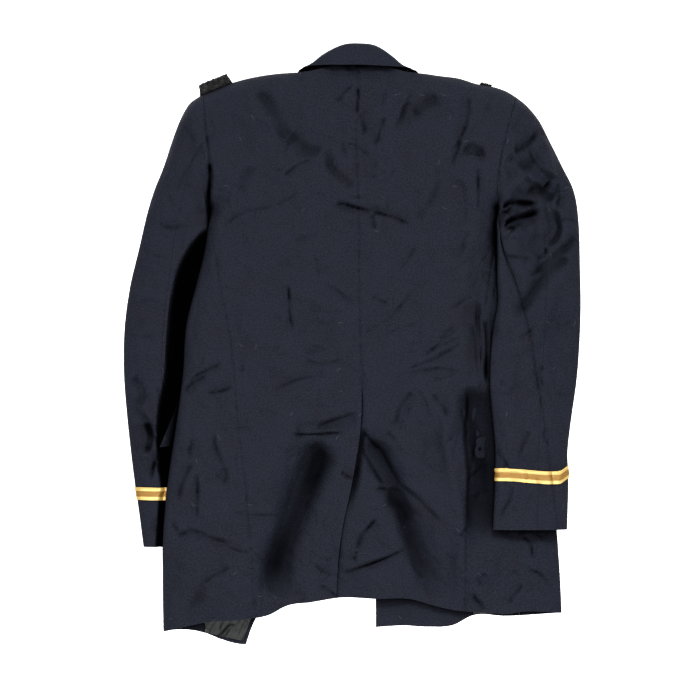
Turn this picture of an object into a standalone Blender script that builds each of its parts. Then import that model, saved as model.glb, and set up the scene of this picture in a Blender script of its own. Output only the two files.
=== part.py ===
"""A military dress tunic laid face down on a flat surface, back upwards.

The frame: +X is the wearer's right, +Y runs from the hem to the collar, +Z is up, and the
origin is the middle of the surface that the tunic lies on. All the tables are in
millimetres, and the meshes are made in metres.

Every piece of cloth is a wall round a grid of points. The body is a flattened tube with a
lower layer (the fronts) and an upper layer (the backs), joined by the side panels, which turn
over at the sides. Each sleeve is a flattened tube that starts at its armhole.
"""

import bmesh
import bpy
import numpy as np
from mathutils import Matrix, Vector

MM = 0.001

CLOTH = 1.6  # wall of the body and sleeves
FLAP_WALL = 1.4
COLLAR_WALL = 2.2
BRAID_WALL = 1.0
STRAP_WALL = 3.0
LINING_WALL = 1.0
SEAM = 0.3  # gap between two pieces at a seam
LAYER = 0.6  # least air between two layers that lie on each other

FOLD_RISE = 6.0  # height of the turned side above what it lies on
SIDE_ROUND = 38.0  # distance over which the upper layer rounds down to a side
SHOULDER_ROUND = 30.0
LOWER_ROUND = 12.0  # the same for the lower layer
ROUNDNESS = 2.2  # exponent of those rounded edges

UNDERARM_Y = 200.0
VENT_TOP_Y = -117.0
SLEEVE_LIFT = 8.6  # how far the body lies above the surface on the left sleeve
VENT_LAP = 42.0  # how far the right back reaches under the left one
VENT_DROP = 2.8
UNDER_SIDE = 55.0  # how far a side panel reaches in on the lower layer

BUTTON_RADIUS = 11.5
BUTTON_HEIGHT = 7.0
BUTTON_X = 10.0
BUTTON_TOP_Y = 118.0
BUTTON_STEP = 67.0
BUTTONS = 4

NECK_X = 9.0  # middle of the collar
NECK_HALF, NECK_ROUND = 62.0, 80.0  # the neck opens inside the first, the shoulders start at the other

# Colour, roughness and metallic value of each kind of material.
WOOL = ((0.012, 0.014, 0.024), 0.85, 0.0)
BRAID = ((0.62, 0.38, 0.07), 0.4, 0.3)
PAD = ((0.03, 0.03, 0.03), 1.0, 0.0)
LINING = ((0.04, 0.043, 0.042), 0.4, 0.0)
BRASS = ((0.75, 0.5, 0.15), 0.3, 1.0)


def columns(names, rows):
    """A table as a dictionary of columns."""
    values = np.array(rows, float)
    return {name: values[:, i] for i, name in enumerate(names.split())}


# Outlines of the body, from the hem up: its two sides, the side-back seams and the centre back.
# Above the underarm the sides are the armholes.
BODY = columns(
    "y left left_seam centre right_seam right",
    (
        (-420, -276, -139, -22, 166, 308),
        (-348, -277, -145, -22, 167, 305),
        (-276, -276, -150, -15, 168, 300),
        (-198, -269, -157, 1, 172, 292),
        (-117, -257, -167, 13, 186, 281),
        (-40, -247, -173, 14, 188, 268),
        (30, -242, -182, 12, 192, 256),
        (94, -226, -194, 10, 201, 237),
        (140, -215, -201, 10, 208, 219),
        (200, -210, -208, 10, 212, 214),
        (230, -208, -208, 9, 212, 212),
        (267, -208, -208, 7, 217, 217),
        (315, -213, -213, 6, 227, 227),
        (366, -217, -217, 9, 240, 240),
    ),
)

# The top edge of the backs and fronts: shoulder seams and back neck.
TOP = columns(
    "x y",
    (
        (-240, 357),
        (-217, 367),
        (-175, 384),
        (-120, 396),
        (-85, 399),
        (-62, 400),
        (-30, 408),
        (10, 413),
        (48, 407),
        (80, 399),
        (100, 398),
        (129, 394),
        (158, 390),
        (180, 383),
        (214, 376),
        (229, 370),
        (240, 363),
    ),
)

# The hem of the back and side panels.
HEM = columns(
    "x y",
    (
        (-280, -421),
        (-241, -412),
        (-205, -405),
        (-160, -402),
        (-120, -395),
        (-97, -383),
        (-60, -377),
        (-22, -371),
        (35, -372),
        (88, -373),
        (119, -382),
        (150, -389),
        (194, -392),
        (226, -394),
        (248, -391),
        (310, -393),
    ),
)

# The front edges, from the hem to the lowest button, up to the top one, then the lapel roll.
FRONT = columns(
    "y left right",
    (
        (-440, -156, 35),
        (-414, -147, 35),
        (-380, -131, 35),
        (-300, -117, 31),
        (-240, -91, 24),
        (-190, -58, 16),
        (-130, 0, 3),
        (-85, 30, -10),
        (20, 30, -10),
        (130, 30, -10),
        (200, 6, 14),
        (300, -28, 48),
        (400, -62, 82),
    ),
)

# The lower edges of the two fronts, which hang lower than the back.
FRONT_HEM_LEFT = columns(
    "x y",
    (
        (-280, -420),
        (-244, -418),
        (-219, -422),
        (-195, -431),
        (-167, -439),
        (-150, -440),
    ),
)
FRONT_HEM_RIGHT = columns(
    "x y",
    (
        (30, -415),
        (72, -412),
        (113, -414),
        (150, -411),
        (175, -398),
        (226, -398),
        (310, -393),
    ),
)

# Height of the upper layer of the body near its two sides and at the centre back.
LOFT = columns(
    "y left centre right",
    (
        (-420, 15, 4, 10),
        (-340, 18, 6, 13),
        (-260, 21, 8, 17),
        (-180, 23, 13, 17),
        (-110, 24, 19, 18),
        (-20, 25, 22, 20),
        (90, 27, 25, 24),
        (190, 30, 29, 30),
        (280, 34, 32, 34),
        (350, 33, 33, 33),
        (416, 25, 29, 25),
    ),
)

# The largest folds of the back. Each follows a curve through a start, a pull and an end.
FOLDS = columns(
    "start_x start_y pull_x pull_y end_x end_y width height",
    (
        (-45, -132, -110, -260, -103, -378, 23, -10),
        (16, -125, 89, -254, 128, -388, 21, -10),
        (135, -106, 156, -200, 163, -384, 18, 3),
        (192, -60, 194, -170, 186, -280, 20, -6),
        (-95, 300, -60, 285, -35, 272, 24, -4),
        (75, 352, 100, 340, 135, 338, 22, -4),
        (155, 300, 175, 280, 195, 270, 20, -4),
        (-84, -128, -40, -120, 8, -106, 10, -4),
        (-27, 203, 5, 204, 40, 190, 9, -3),
    ),
)

# Width of what is turned out over the fronts: the lapel, then the front of the collar.
TURNED = columns(
    "y width",
    ((120, 2), (135, 6), (170, 36), (220, 66), (280, 88), (312, 94), (352, 60), (400, 36)),
)

# Rings of the sleeves from the armhole to the cuff: outer edge, inner edge, height of the
# upper layer, and where the body presses the left one flat. The second and third rings from
# the end are the two edges of the braid.
LEFT_SLEEVE = columns(
    "outer_x outer_y inner_x inner_y loft ridge_x",
    (
        (-217, 367, -211, 200, 31, -190),
        (-237, 354, -213.4, 189, 30, -192),
        (-252, 328, -213.2, 177, 29, -206),
        (-264, 296, -212, 162, 28, -215),
        (-276, 260, -208, 146, 26, -224),
        (-290, 225, -205, 124, 24, -234),
        (-301, 188, -203, 98, 22, -246),
        (-312, 140, -199, 68, 20, -256),
        (-325, 85, -197, 32, 19, -264),
        (-333, 25, -198, -8, 18, -269),
        (-334, -37, -200, -55, 17, -273),
        (-330, -95, -199, -110, 16, -283),
        (-323, -161, -195, -166, 15, -284),
        (-317, -208, -192, -211, 14, -278),
        (-314, -227, -191, -230, 14, -281),
        (-305, -296, -188, -298, 13, -286),
    ),
)
RIGHT_SLEEVE = columns(
    "outer_x outer_y inner_x inner_y loft",
    (
        (240, 363, 214, 200, 31),
        (256, 350, 217.5, 189, 30),
        (274, 328, 217.5, 176, 29),
        (290, 297, 218.8, 162, 28),
        (308, 261, 218.8, 145, 25),
        (325, 225, 218, 122, 23),
        (332, 180, 216, 95, 20),
        (334, 115, 213, 62, 18),
        (335, 55, 207, 25, 16),
        (333, 0, 203, -15, 15),
        (329, -51, 202, -60, 14),
        (321, -106, 206, -105, 13),
        (315, -150, 210, -150, 13),
        (315, -175, 210, -180, 12),
        (316, -194, 210, -199, 12),
        (314, -270, 206, -270, 12),
    ),
)

SLEEVES = {"left": LEFT_SLEEVE, "right": RIGHT_SLEEVE}

# The collar, from its left front point round the back of the neck to its right front point:
# the roll line at its top, and the free edge of the fall.
COLLAR = columns(
    "roll_x roll_y roll_z edge_x edge_y edge_z",
    (
        (-34, 316, 1.2, -116, 322, 1.2),
        (-44, 350, 1.2, -106, 352, 1.2),
        (-55, 384, 1.2, -88, 380, 1.2),
        (-64, 402, 1.2, -80, 400, 1.2),
        (-66, 406.5, 7, -75, 404, 6),
        (-58, 411, 22, -65, 407, 25),
        (-41, 424, 31, -40, 408, 36),
        (-14, 437, 34, -14, 408, 38),
        (10, 439, 35, 10, 408, 39),
        (34, 436, 34, 34, 407, 38),
        (57, 422, 31, 57, 406, 36),
        (73, 408.5, 22, 80, 405, 25),
        (81, 406, 7, 90, 403, 6),
        (82, 401, 1.2, 98, 399, 1.2),
        (73, 382, 1.2, 106, 378, 1.2),
        (62, 350, 1.2, 124, 352, 1.2),
        (52, 316, 1.2, 134, 322, 1.2),
    ),
)
COLLAR_BULGE = 2.5
STAND_FIRST, STAND_LAST = 5, 11  # the collar stations that the stand follows
STAND_IN = 3.6  # how far the stand lies inside the fall at the roll line
STAND_NARROW = 0.93  # its width over the fall's

# Rows of the body panels as heights on a body whose hem and shoulders were straight.
ROWS = np.array(
    (
        *(-400, -380, -345, -305, -270, -235, -200, -165, -130, -95, -50, 0, 50, 100),
        *(150, 180, 200, 215, 240, 270, 300, 330, 358, 380, 394, 400),
    ),
    float,
)
HEM_ROW, SHOULDER_ROW = -400.0, 400.0
HEM_ZONE, SHOULDER_ZONE = -300.0, 300.0  # between these the rows are level
BACK_COLUMNS = 10
SIDE_UPPER_COLUMNS, SIDE_LOWER_COLUMNS = 4, 3
FRONT_COLUMNS = 6
HIND_SEAM = 4  # column of a sleeve's seams, counted from its outer edge


# --- curves and edges ---------------------------------------------------------------------


def along(table, key, name, at):
    """A smooth curve through a column of a table, read at a place in its key column."""
    order = np.argsort(table[key])
    xs, ys = table[key][order], table[name][order]
    at = np.clip(np.asarray(at, float), xs[0], xs[-1])
    slopes = np.gradient(ys, xs)
    i = np.clip(np.searchsorted(xs, at) - 1, 0, len(xs) - 2)
    step = xs[i + 1] - xs[i]
    t = (at - xs[i]) / step
    return (
        ys[i] * (2 * t**3 - 3 * t**2 + 1)
        + slopes[i] * step * (t**3 - 2 * t**2 + t)
        + ys[i + 1] * (3 * t**2 - 2 * t**3)
        + slopes[i + 1] * step * (t**3 - t**2)
    )


def body(name, y):
    return along(BODY, "y", name, y)


def ease(value, start, end):
    """0 before start, 1 after end, smooth between. Start may be the larger."""
    t = np.clip((np.asarray(value, float) - start) / (end - start), 0, 1)
    return t * t * (3 - 2 * t)


def rounded(distance, reach):
    """The rise of a rounded edge: 0 at the edge, 1 from its reach on."""
    t = 1 - np.clip(np.asarray(distance, float) / reach, 0, 1)
    return (1 - t**ROUNDNESS) ** (1 / ROUNDNESS)


def curve_distance(x, y, start, pull, end, pieces=16):
    """Distance to a curve with one pull point, and how far along it the nearest place is."""
    best = np.full(np.shape(x), np.inf)
    place = np.zeros(np.shape(x))
    t = np.linspace(0, 1, pieces + 1)[:, None]
    points = (1 - t) ** 2 * start + 2 * t * (1 - t) * pull + t**2 * end
    for i in range(pieces):
        a, run = points[i], points[i + 1] - points[i]
        s = np.clip(((x - a[0]) * run[0] + (y - a[1]) * run[1]) / (run @ run), 0, 1)
        gap = np.hypot(x - a[0] - s * run[0], y - a[1] - s * run[1])
        place = np.where(gap < best, (i + s) / pieces, place)
        best = np.minimum(gap, best)
    return best, place


# --- the layers of the body ---------------------------------------------------------------


def side_distance(x, y, side):
    """Distance in from a side of the body. Above the underarm it is the distance to it."""
    edge = body(side, y)
    inward = (x - edge) if side == "left" else (edge - x)
    above = np.clip(y - UNDERARM_Y, 0, None)
    return np.where(above > 0, np.hypot(inward, above), np.clip(inward, 0, None))


def shoulder_distance(x, y):
    """Distance below the shoulder line. The back neck is open, so it counts as far away."""
    neck = 1 - ease(np.abs(x - NECK_X), NECK_HALF, NECK_ROUND + 8)
    return along(TOP, "x", "y", x) - y + 80 * neck


def sleeve_lift(x, y):
    """How far the body is raised where it lies on the flattened part of the left sleeve."""
    return SLEEVE_LIFT * ease(x, -158, -186) * ease(y, 199, 176) * ease(y, -335, -303)


def turned_lift(x, y, side):
    """How far a front is raised over its own lapel and the front of the collar."""
    roll = along(FRONT, "y", side, y)
    outer = along(TURNED, "y", "width", y)
    outward = (roll - x) if side == "left" else (x - roll)
    return 3.4 * ease(outward, outer + 50, outer + 26) * ease(y, 112, 130)


def button_lift(x, y):
    """How far both fronts are raised over the row of buttons."""
    lowest = BUTTON_TOP_Y - BUTTON_STEP * (BUTTONS - 1)
    run = ease(y, lowest - 55, lowest - 16) * ease(y, BUTTON_TOP_Y + 62, BUTTON_TOP_Y + 20)
    return (BUTTON_HEIGHT + LAYER) * run * ease(np.abs(x - BUTTON_X), 75, 24)


def lap_lift(x, y):
    """How far the right front is raised where it lies on the left one."""
    return (CLOTH + 2.2) * ease(x, 84, 62) * ease(y, -175, -140)


def flap_lift(x, y, side):
    """How far a front is raised over its pocket flap."""
    inner = -120 if side == "left" else 92
    inward = (x - inner) if side == "left" else (inner - x)
    return (CLOTH + LAYER + 0.6) * ease(inward, 52, 34) * ease(y, -18, -50) * ease(y, -196, -166)


def fold_height(x, y, side):
    return FOLD_RISE + (sleeve_lift(x, y) if side == "left" else 0)


def lower_layer(x, y, side):
    """Height of a front, or of the lower part of a side panel."""
    flat = CLOTH / 2 + turned_lift(x, y, side) + button_lift(x, y)
    flat = flat + flap_lift(x, y, side)
    if side == "right":
        flat = flat + lap_lift(x, y)
    else:
        flat = np.maximum(flat, CLOTH / 2 + sleeve_lift(x, y))
    edge = np.minimum(side_distance(x, y, side), shoulder_distance(x, y))
    up = 1 - rounded(edge, LOWER_ROUND)
    return flat + (np.maximum(fold_height(x, y, side), flat + 1) - flat) * up


def loft(x, y):
    """Height of the upper layer before its edges are rounded and its folds pressed in."""
    centre = body("centre", y)
    half = np.where(x < centre, centre - body("left", y), body("right", y) - centre)
    share = ease(np.abs(x - centre) / half, 0.05, 0.62)
    side = np.where(x < centre, along(LOFT, "y", "left", y), along(LOFT, "y", "right", y))
    return along(LOFT, "y", "centre", y) * (1 - share) + side * share


def folds(x, y):
    total = np.zeros(np.shape(x))
    for i in range(len(FOLDS["width"])):
        row = {name: FOLDS[name][i] for name in FOLDS}
        start = np.array((row["start_x"], row["start_y"]))
        pull = np.array((row["pull_x"], row["pull_y"]))
        end = np.array((row["end_x"], row["end_y"]))
        gap, place = curve_distance(x, y, start, pull, end)
        fade = ease(place, 0, 0.12) * (1 - 0.6 * ease(place, 0.85, 1))
        total += row["height"] * np.exp(-((gap / row["width"]) ** 2)) * fade
    return total


def least_height(x, y):
    """The lowest that the upper layer may lie, on the surface or on the fronts."""
    left_edge, right_edge = along(FRONT, "y", "left", y), along(FRONT, "y", "right", y)
    covered = np.maximum(ease(x, left_edge + 14, left_edge), ease(x, right_edge - 14, right_edge))
    under = np.maximum(sleeve_lift(x, y), button_lift(x, y))
    return CLOTH / 2 + LAYER + covered * (CLOTH + LAYER) + under


def upper_layer(x, y):
    """Height of the backs, or of the upper part of a side panel."""
    side = np.where(x < body("centre", y), "left", "right")
    gap = np.where(side == "left", side_distance(x, y, "left"), side_distance(x, y, "right"))
    fold = FOLD_RISE + sleeve_lift(x, y)
    edge = rounded(gap, SIDE_ROUND) * rounded(shoulder_distance(x, y), SHOULDER_ROUND)
    lowest = least_height(x, y) + VENT_DROP * vent_share(x, y)
    height = loft(x, y) + folds(x, y) * ease(gap, 0, 30)
    soft = 3.0
    height = lowest + soft * np.logaddexp(0, (height - lowest) / soft)
    return fold + (height - fold) * edge


def vent_share(x, y):
    """1 where the backs lap below the vent's top, 0 away from it."""
    gap = x - body("centre", y)
    return ease(y, VENT_TOP_Y + 66, VENT_TOP_Y + 23) * ease(np.abs(gap + VENT_LAP / 2), 74, 38)


# --- grids --------------------------------------------------------------------------------


def row_heights(x, hem, rows):
    """The rows of a panel at the places x, bent to its hem and to the shoulder line."""
    low, high = along(hem, "x", "y", x), along(TOP, "x", "y", x)
    down = (HEM_ZONE - rows) / (HEM_ZONE - HEM_ROW)
    up = (rows - SHOULDER_ZONE) / (SHOULDER_ROW - SHOULDER_ZONE)
    y = np.where(rows < HEM_ZONE, HEM_ZONE + (low - HEM_ZONE) * down, rows)
    return np.where(rows > SHOULDER_ZONE, SHOULDER_ZONE + (high - SHOULDER_ZONE) * up, y)


def panel_grid(start, end, shares, hem, rows):
    """Places of a panel between two curves of y, in rows from its hem up."""
    shares, rows = np.meshgrid(shares, rows)
    y = rows.copy()
    for _ in range(4):
        x = start(y) + (end(y) - start(y)) * shares
        y = row_heights(x, hem, rows)
    return x, y


def stack(x, y, z):
    return np.stack((x, y, z), axis=-1)


def back_grid(side):
    sign = -1 if side == "left" else 1

    def centre(y):
        lap = VENT_LAP * ease(y, VENT_TOP_Y + 12, VENT_TOP_Y - 12) if side == "right" else 0
        return body("centre", y) + sign * SEAM / 2 - lap

    def seam(y):
        return body(side + "_seam", y) - sign * SEAM / 2

    shares = np.linspace(0, 1, BACK_COLUMNS + 1)
    x, y = panel_grid(centre, seam, shares, HEM, ROWS)
    z = upper_layer(x, y)
    if side == "right":
        z = z - VENT_DROP * vent_share(x, y)
    z[-1] += 2 * SEAM * ease(np.abs(x[-1] - NECK_X), NECK_HALF, NECK_ROUND)
    return stack(x, y, z)


def side_grid(side):
    """From the side-back seam over the side to the seam with the front, on the lower layer."""
    sign = -1 if side == "left" else 1
    rows = ROWS[ROWS <= UNDERARM_Y]
    inset = np.array([(1 - i / SIDE_UPPER_COLUMNS) ** 2 for i in range(SIDE_UPPER_COLUMNS + 1)])
    under = np.array([(i / SIDE_LOWER_COLUMNS) ** 1.6 for i in range(1, SIDE_LOWER_COLUMNS + 1)])
    up_x, up_y = panel_grid(
        lambda y: body(side, y),
        lambda y: body(side + "_seam", y) + sign * SEAM / 2,
        inset,
        HEM,
        rows,
    )
    down_x, down_y = panel_grid(
        lambda y: body(side, y),
        lambda y: front_seam(side, y) + sign * SEAM / 2,
        under,
        FRONT_HEM_LEFT if side == "left" else FRONT_HEM_RIGHT,
        rows,
    )
    upper = stack(up_x, up_y, upper_layer(up_x, up_y))
    lower = stack(down_x, down_y, lower_layer(down_x, down_y, side))
    grid = np.concatenate((upper, lower), axis=1)
    grid[-1, :, 1] -= SEAM
    return grid


def front_seam(side, y):
    """The seam between a side panel and a front. It runs out at the underarm."""
    sign = -1 if side == "left" else 1
    reach = UNDER_SIDE * ease(y, UNDERARM_Y, UNDERARM_Y - 130)
    return body(side, y) - sign * (4 * ease(y, UNDERARM_Y + 1, UNDERARM_Y - 20) + 2 + reach)


def front_grid(side):
    sign = -1 if side == "left" else 1
    hem = FRONT_HEM_LEFT if side == "left" else FRONT_HEM_RIGHT

    def outer(y):
        armhole = body(side, y)
        seam = np.where(np.asarray(y) > UNDERARM_Y, armhole, front_seam(side, y))
        return seam - sign * (SEAM / 2 + SEAM * 3 * ease(y, UNDERARM_Y - 50, UNDERARM_Y))

    def edge(y):
        return along(FRONT, "y", side, y)

    shares = np.linspace(0, 1, FRONT_COLUMNS + 1)
    x, y = panel_grid(outer, edge, shares, hem, ROWS)
    z = lower_layer(x, y, side)
    z[-1] -= 2 * SEAM * ease(np.abs(x[-1] - NECK_X), NECK_HALF, NECK_ROUND)
    return stack(x, y, z)


def lapel_grid(side):
    """The turned-out part of a front, lying on the surface under it."""
    sign = -1 if side == "left" else 1
    rows = np.linspace(136 if side == "left" else 204, 308, 8)
    shares, rows = np.meshgrid(np.linspace(0, 1, 6), rows)
    roll = along(FRONT, "y", side, rows)
    x = roll + sign * along(TURNED, "y", "width", rows) * shares
    y = rows + shares * 8 * ease(rows, 260, 308)
    return stack(x, y, np.full_like(x, CLOTH / 2))


# --- sleeves ------------------------------------------------------------------------------


def armhole_places(side):
    """The places of the body's rows on an armhole, from the shoulder down."""
    sign = -1 if side == "left" else 1
    rows = ROWS[ROWS >= UNDERARM_Y]
    x = body(side, rows)
    for _ in range(4):
        y = row_heights(x, HEM, rows)
        x = body(side, y)
    apart = SEAM / 2 + CLOTH * ease(y, UNDERARM_Y + 14, UNDERARM_Y)
    apart[-1] += SEAM
    return np.stack((x + sign * apart, y), axis=-1)[::-1]


def sleeve_layers(places, outer, inner, ring, side):
    """Heights of the lower and upper layers of a sleeve at the places of one ring."""
    table = SLEEVES[side]
    x, y = places.T
    to_outer = np.hypot(*(places - outer).T)
    to_inner = np.hypot(*(places - inner).T)
    base = CLOTH / 2 + (BRAID_WALL + SEAM) * ease(ring, 9, 12)
    if side == "right":
        on_body = (loft(x, y) + CLOTH + LAYER) * ease(y, 192, 150)
        base = base + on_body * ease(x - body("right", y), 62, 4)
    fold = base - CLOTH / 2 + FOLD_RISE
    away = ease(ring, 0, 5)
    height = loft(x, y) * (1 - away) + (base - CLOTH / 2 + table["loft"][ring]) * away
    if side == "left":
        ridge = table["ridge_x"][ring]
        press = ease(x, ridge - 7, ridge + 7) * ease(ring, 1.5, 3.5)
        height = height * (1 - press) + (base + CLOTH + LAYER) * press
        fold = fold * (1 - press) + (base + (CLOTH + LAYER) / 2) * press
    edge = rounded(to_inner, SIDE_ROUND) * rounded(to_outer, SHOULDER_ROUND)
    upper = fold + (height - fold) * edge
    turn = 1 - rounded(np.minimum(to_inner, to_outer), LOWER_ROUND)
    return base + (fold - base) * turn, upper


def sleeve_ring(side, ring):
    """One ring of a sleeve: its places from the outer to the inner edge, lower and upper."""
    table = SLEEVES[side]
    outer = np.array((table["outer_x"][ring], table["outer_y"][ring]))
    inner = np.array((table["inner_x"][ring], table["inner_y"][ring]))
    first = armhole_places(side)
    run = np.hypot(*np.diff(first, axis=0).T).cumsum()
    armhole_shares = np.concatenate(((0,), run)) / run[-1]
    even = (1 - np.cos(np.linspace(0, np.pi, len(first)))) / 2
    blend = ease(ring, 0, 4)
    shares = armhole_shares * (1 - blend) + even * blend
    places = outer + (inner - outer) * shares[:, None]
    if ring == 0:
        places = first
        outer, inner = first[0], first[-1]
    lower, upper = sleeve_layers(places, outer, inner, ring, side)
    return places, lower, upper


def sleeve_tube(side):
    """A whole sleeve as rings of points, above from the outer edge in, then below and back."""
    rings = []
    for index in range(len(LEFT_SLEEVE["loft"])):
        places, lower, upper = sleeve_ring(side, index)
        above = np.column_stack((places, upper))
        below = np.column_stack((places, lower))
        rings.append(np.concatenate((above, below[-2:0:-1])))
    return np.array(rings)


def sleeve_part(tube, first, last):
    """The columns of a tube from a seam to the next one, both drawn in by half a seam."""
    picked = tube[:, np.arange(first, last + 1) % tube.shape[1]].copy()
    for end, beside in ((0, 1), (-1, -2)):
        step = picked[:, beside] - picked[:, end]
        picked[:, end] += step / np.linalg.norm(step, axis=-1, keepdims=True) * SEAM / 2
    return picked


# --- collar, straps, flaps and lining -----------------------------------------------------


def collar_points(names):
    return np.stack([COLLAR[name] for name in names.split()], axis=-1)


def fall_grid():
    roll, edge = collar_points("roll_x roll_y roll_z"), collar_points("edge_x edge_y edge_z")
    shares = np.linspace(0, 1, 5)[:, None, None]
    grid = roll + (edge - roll) * shares
    lift = np.clip(np.minimum(roll[:, 2], edge[:, 2]) - 6, 0, 20) / 20
    grid[..., 2] += COLLAR_BULGE * np.sin(np.pi * shares[..., 0] ** 0.6) * lift
    return grid[::-1]


def stand_grid():
    pick = slice(STAND_FIRST, STAND_LAST + 1)
    roll = collar_points("roll_x roll_y roll_z")[pick].copy()
    roll[:, 0] = NECK_X + (roll[:, 0] - NECK_X) * STAND_NARROW
    roll[:, 1:] -= STAND_IN
    foot = roll.copy()
    foot[:, 1] = along(TOP, "x", "y", foot[:, 0]) + CLOTH
    foot[:, 2] = upper_layer(foot[:, 0], foot[:, 1] - 3) - 1
    foot[:, 2] = np.minimum(foot[:, 2], roll[:, 2] - 2)
    shares = np.linspace(0, 1, 4)[:, None, None]
    return roll + (foot - roll) * shares


def flat_patch(corners, across, up):
    """A grid between four corners, in order round the patch from its lower left."""
    a, b, c, d = (np.array(corner, float) for corner in corners)
    s = np.linspace(0, 1, across + 1)[None, :, None]
    t = np.linspace(0, 1, up + 1)[:, None, None]
    return (a * (1 - s) + b * s) * (1 - t) + (d * (1 - s) + c * s) * t


def flap_grid(side):
    """A pocket flap under a front. The left one stands out past the body's side."""
    if side == "left":
        grid = flat_patch(
            ((-282, -150, 0), (-128, -130, 0), (-120, -72, 0), (-252, -78, 0)), 9, 3
        )
        x, y = grid[..., 0], grid[..., 1]
        out = body("left", y) - x
        grid[..., 2] = CLOTH / 2 + 5.7 * ease(x, -172, -197) + 9.5 * ease(out, -3, 16)
        return grid
    grid = flat_patch(((96, -138, 0), (236, -148, 0), (230, -90, 0), (92, -76, 0)), 6, 3)
    grid[..., 2] = CLOTH / 2
    return grid


def strap_grid(side):
    """A fastener pad that stands out over the shoulder line."""
    if side == "left":
        return flat_patch(
            ((-219, 370, 8.5), (-177, 387.5, 10.5), (-184, 397, 14), (-224, 381, 12)), 4, 3
        )
    return flat_patch(((187, 385, 8), (204, 381.6, 8), (206, 384.2, 9.5), (189, 388, 9.5)), 4, 2)


def lining_grid(side):
    """The satin lining, laid on the inside of a front at the hem."""
    if side == "left":
        grid = flat_patch(
            ((-214, -423, 0), (-160, -435, 0), (-147, -398, 0), (-222, -376, 0)), 5, 3
        )
    else:
        grid = flat_patch(((178, -395, 0), (238, -394, 0), (238, -372, 0), (178, -372, 0)), 5, 2)
    front = lower_layer(grid[..., 0], grid[..., 1], side)
    grid[..., 2] = front + CLOTH / 2 + SEAM + LINING_WALL / 2
    return grid


# --- solids -------------------------------------------------------------------------------


def normals(grid, closed=False):
    """The directions square to a grid. On a closed tube they point outwards."""
    if closed:
        grid = np.concatenate((grid[:, -1:], grid, grid[:, :1]), axis=1)
    normal = np.cross(np.gradient(grid, axis=1), np.gradient(grid, axis=0))
    normal /= np.linalg.norm(normal, axis=-1, keepdims=True)
    if not closed:
        return normal
    outward = grid - grid.mean(axis=1, keepdims=True)
    return normal[:, 1:-1] * np.sign((normal * outward).sum())


def mesh_object(name, points, faces, finish):
    mesh = bpy.data.meshes.new(name)
    mesh.from_pydata((np.asarray(points) * MM).tolist(), [], faces)
    mesh.materials.append(material(name, finish))
    made = bpy.data.objects.new(name, mesh)
    bpy.context.scene.collection.objects.link(made)
    tidy = bmesh.new()
    tidy.from_mesh(mesh)
    bmesh.ops.recalc_face_normals(tidy, faces=tidy.faces)
    tidy.to_mesh(mesh)
    tidy.free()
    mesh.shade_smooth()
    return made


def wall(name, grid, thickness, finish, normal=None, closed=False):
    """A solid wall of even thickness round a grid of middle points."""
    normal = normals(grid) if normal is None else normal
    rows, cols = grid.shape[:2]
    outer = (grid + normal * thickness / 2).reshape(-1, 3)
    inner = (grid - normal * thickness / 2).reshape(-1, 3)
    count = rows * cols
    spans = cols if closed else cols - 1
    faces = []
    for i in range(rows - 1):
        for j in range(spans):
            a, b = i * cols + j, i * cols + (j + 1) % cols
            faces.append((a, b, b + cols, a + cols))
            faces.append((count + a, count + a + cols, count + b + cols, count + b))
    for row in (0, (rows - 1) * cols):
        for j in range(spans):
            a, b = row + j, row + (j + 1) % cols
            faces.append((a, b, count + b, count + a))
    if not closed:
        for col in (0, cols - 1):
            for i in range(rows - 1):
                a = i * cols + col
                faces.append((a, a + cols, count + a + cols, count + a))
    return mesh_object(name, np.concatenate((outer, inner)), faces, finish)


def sleeve(side):
    """The top sleeve round the outer edge, the under sleeve round the inner one, the braid."""
    tube = sleeve_tube(side)
    out = normals(tube, closed=True)
    around = tube.shape[1]
    for name, first, last in (
        ("top", around - HIND_SEAM, around + HIND_SEAM),
        ("under", HIND_SEAM, around - HIND_SEAM),
    ):
        pick = np.arange(first, last + 1) % around
        wall(f"sleeve_{side}_{name}", sleeve_part(tube, first, last), CLOTH, WOOL, out[:, pick])
    band = tube[-3:-1] + out[-3:-1] * (CLOTH / 2 + SEAM + BRAID_WALL / 2)
    wall("braid_" + side, band, BRAID_WALL, BRAID, out[-3:-1], closed=True)


def turned_button(name, x, y):
    """A domed button with its face down, turned from a profile and closed at its shank."""
    profile = (
        (0.0, 0.0),
        (4.0, 0.0),
        (8.0, 0.9),
        (10.6, 2.4),
        (BUTTON_RADIUS, 3.9),
        (10.4, 4.7),
        (3.2, 5.2),
        (3.0, BUTTON_HEIGHT - 0.3),
        (0.0, BUTTON_HEIGHT - 0.3),
    )
    shape = bmesh.new()
    ring = [shape.verts.new((radius * MM, 0, height * MM)) for radius, height in profile]
    edges = [shape.edges.new(pair) for pair in zip(ring, ring[1:])]
    bmesh.ops.spin(
        shape,
        geom=ring + edges,
        cent=(0, 0, 0),
        axis=(0, 0, 1),
        angle=2 * np.pi,
        steps=16,
        use_merge=True,
    )
    bmesh.ops.remove_doubles(shape, verts=shape.verts, dist=1e-6)
    bmesh.ops.recalc_face_normals(shape, faces=shape.faces)
    mesh = bpy.data.meshes.new(name)
    shape.to_mesh(mesh)
    shape.free()
    mesh.materials.append(material(name, BRASS))
    mesh.shade_smooth()
    made = bpy.data.objects.new(name, mesh)
    made.matrix_world = Matrix.Translation(Vector((x, y, 0)) * MM)
    bpy.context.scene.collection.objects.link(made)
    return made


def material(name, finish):
    """A material of its own for one object."""
    colour, roughness, metallic = finish
    made = bpy.data.materials.new(name)
    made.use_nodes = True
    shader = made.node_tree.nodes["Principled BSDF"]
    shader.inputs["Base Color"].default_value = (*colour, 1)
    shader.inputs["Roughness"].default_value = roughness
    shader.inputs["Metallic"].default_value = metallic
    return made


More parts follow.
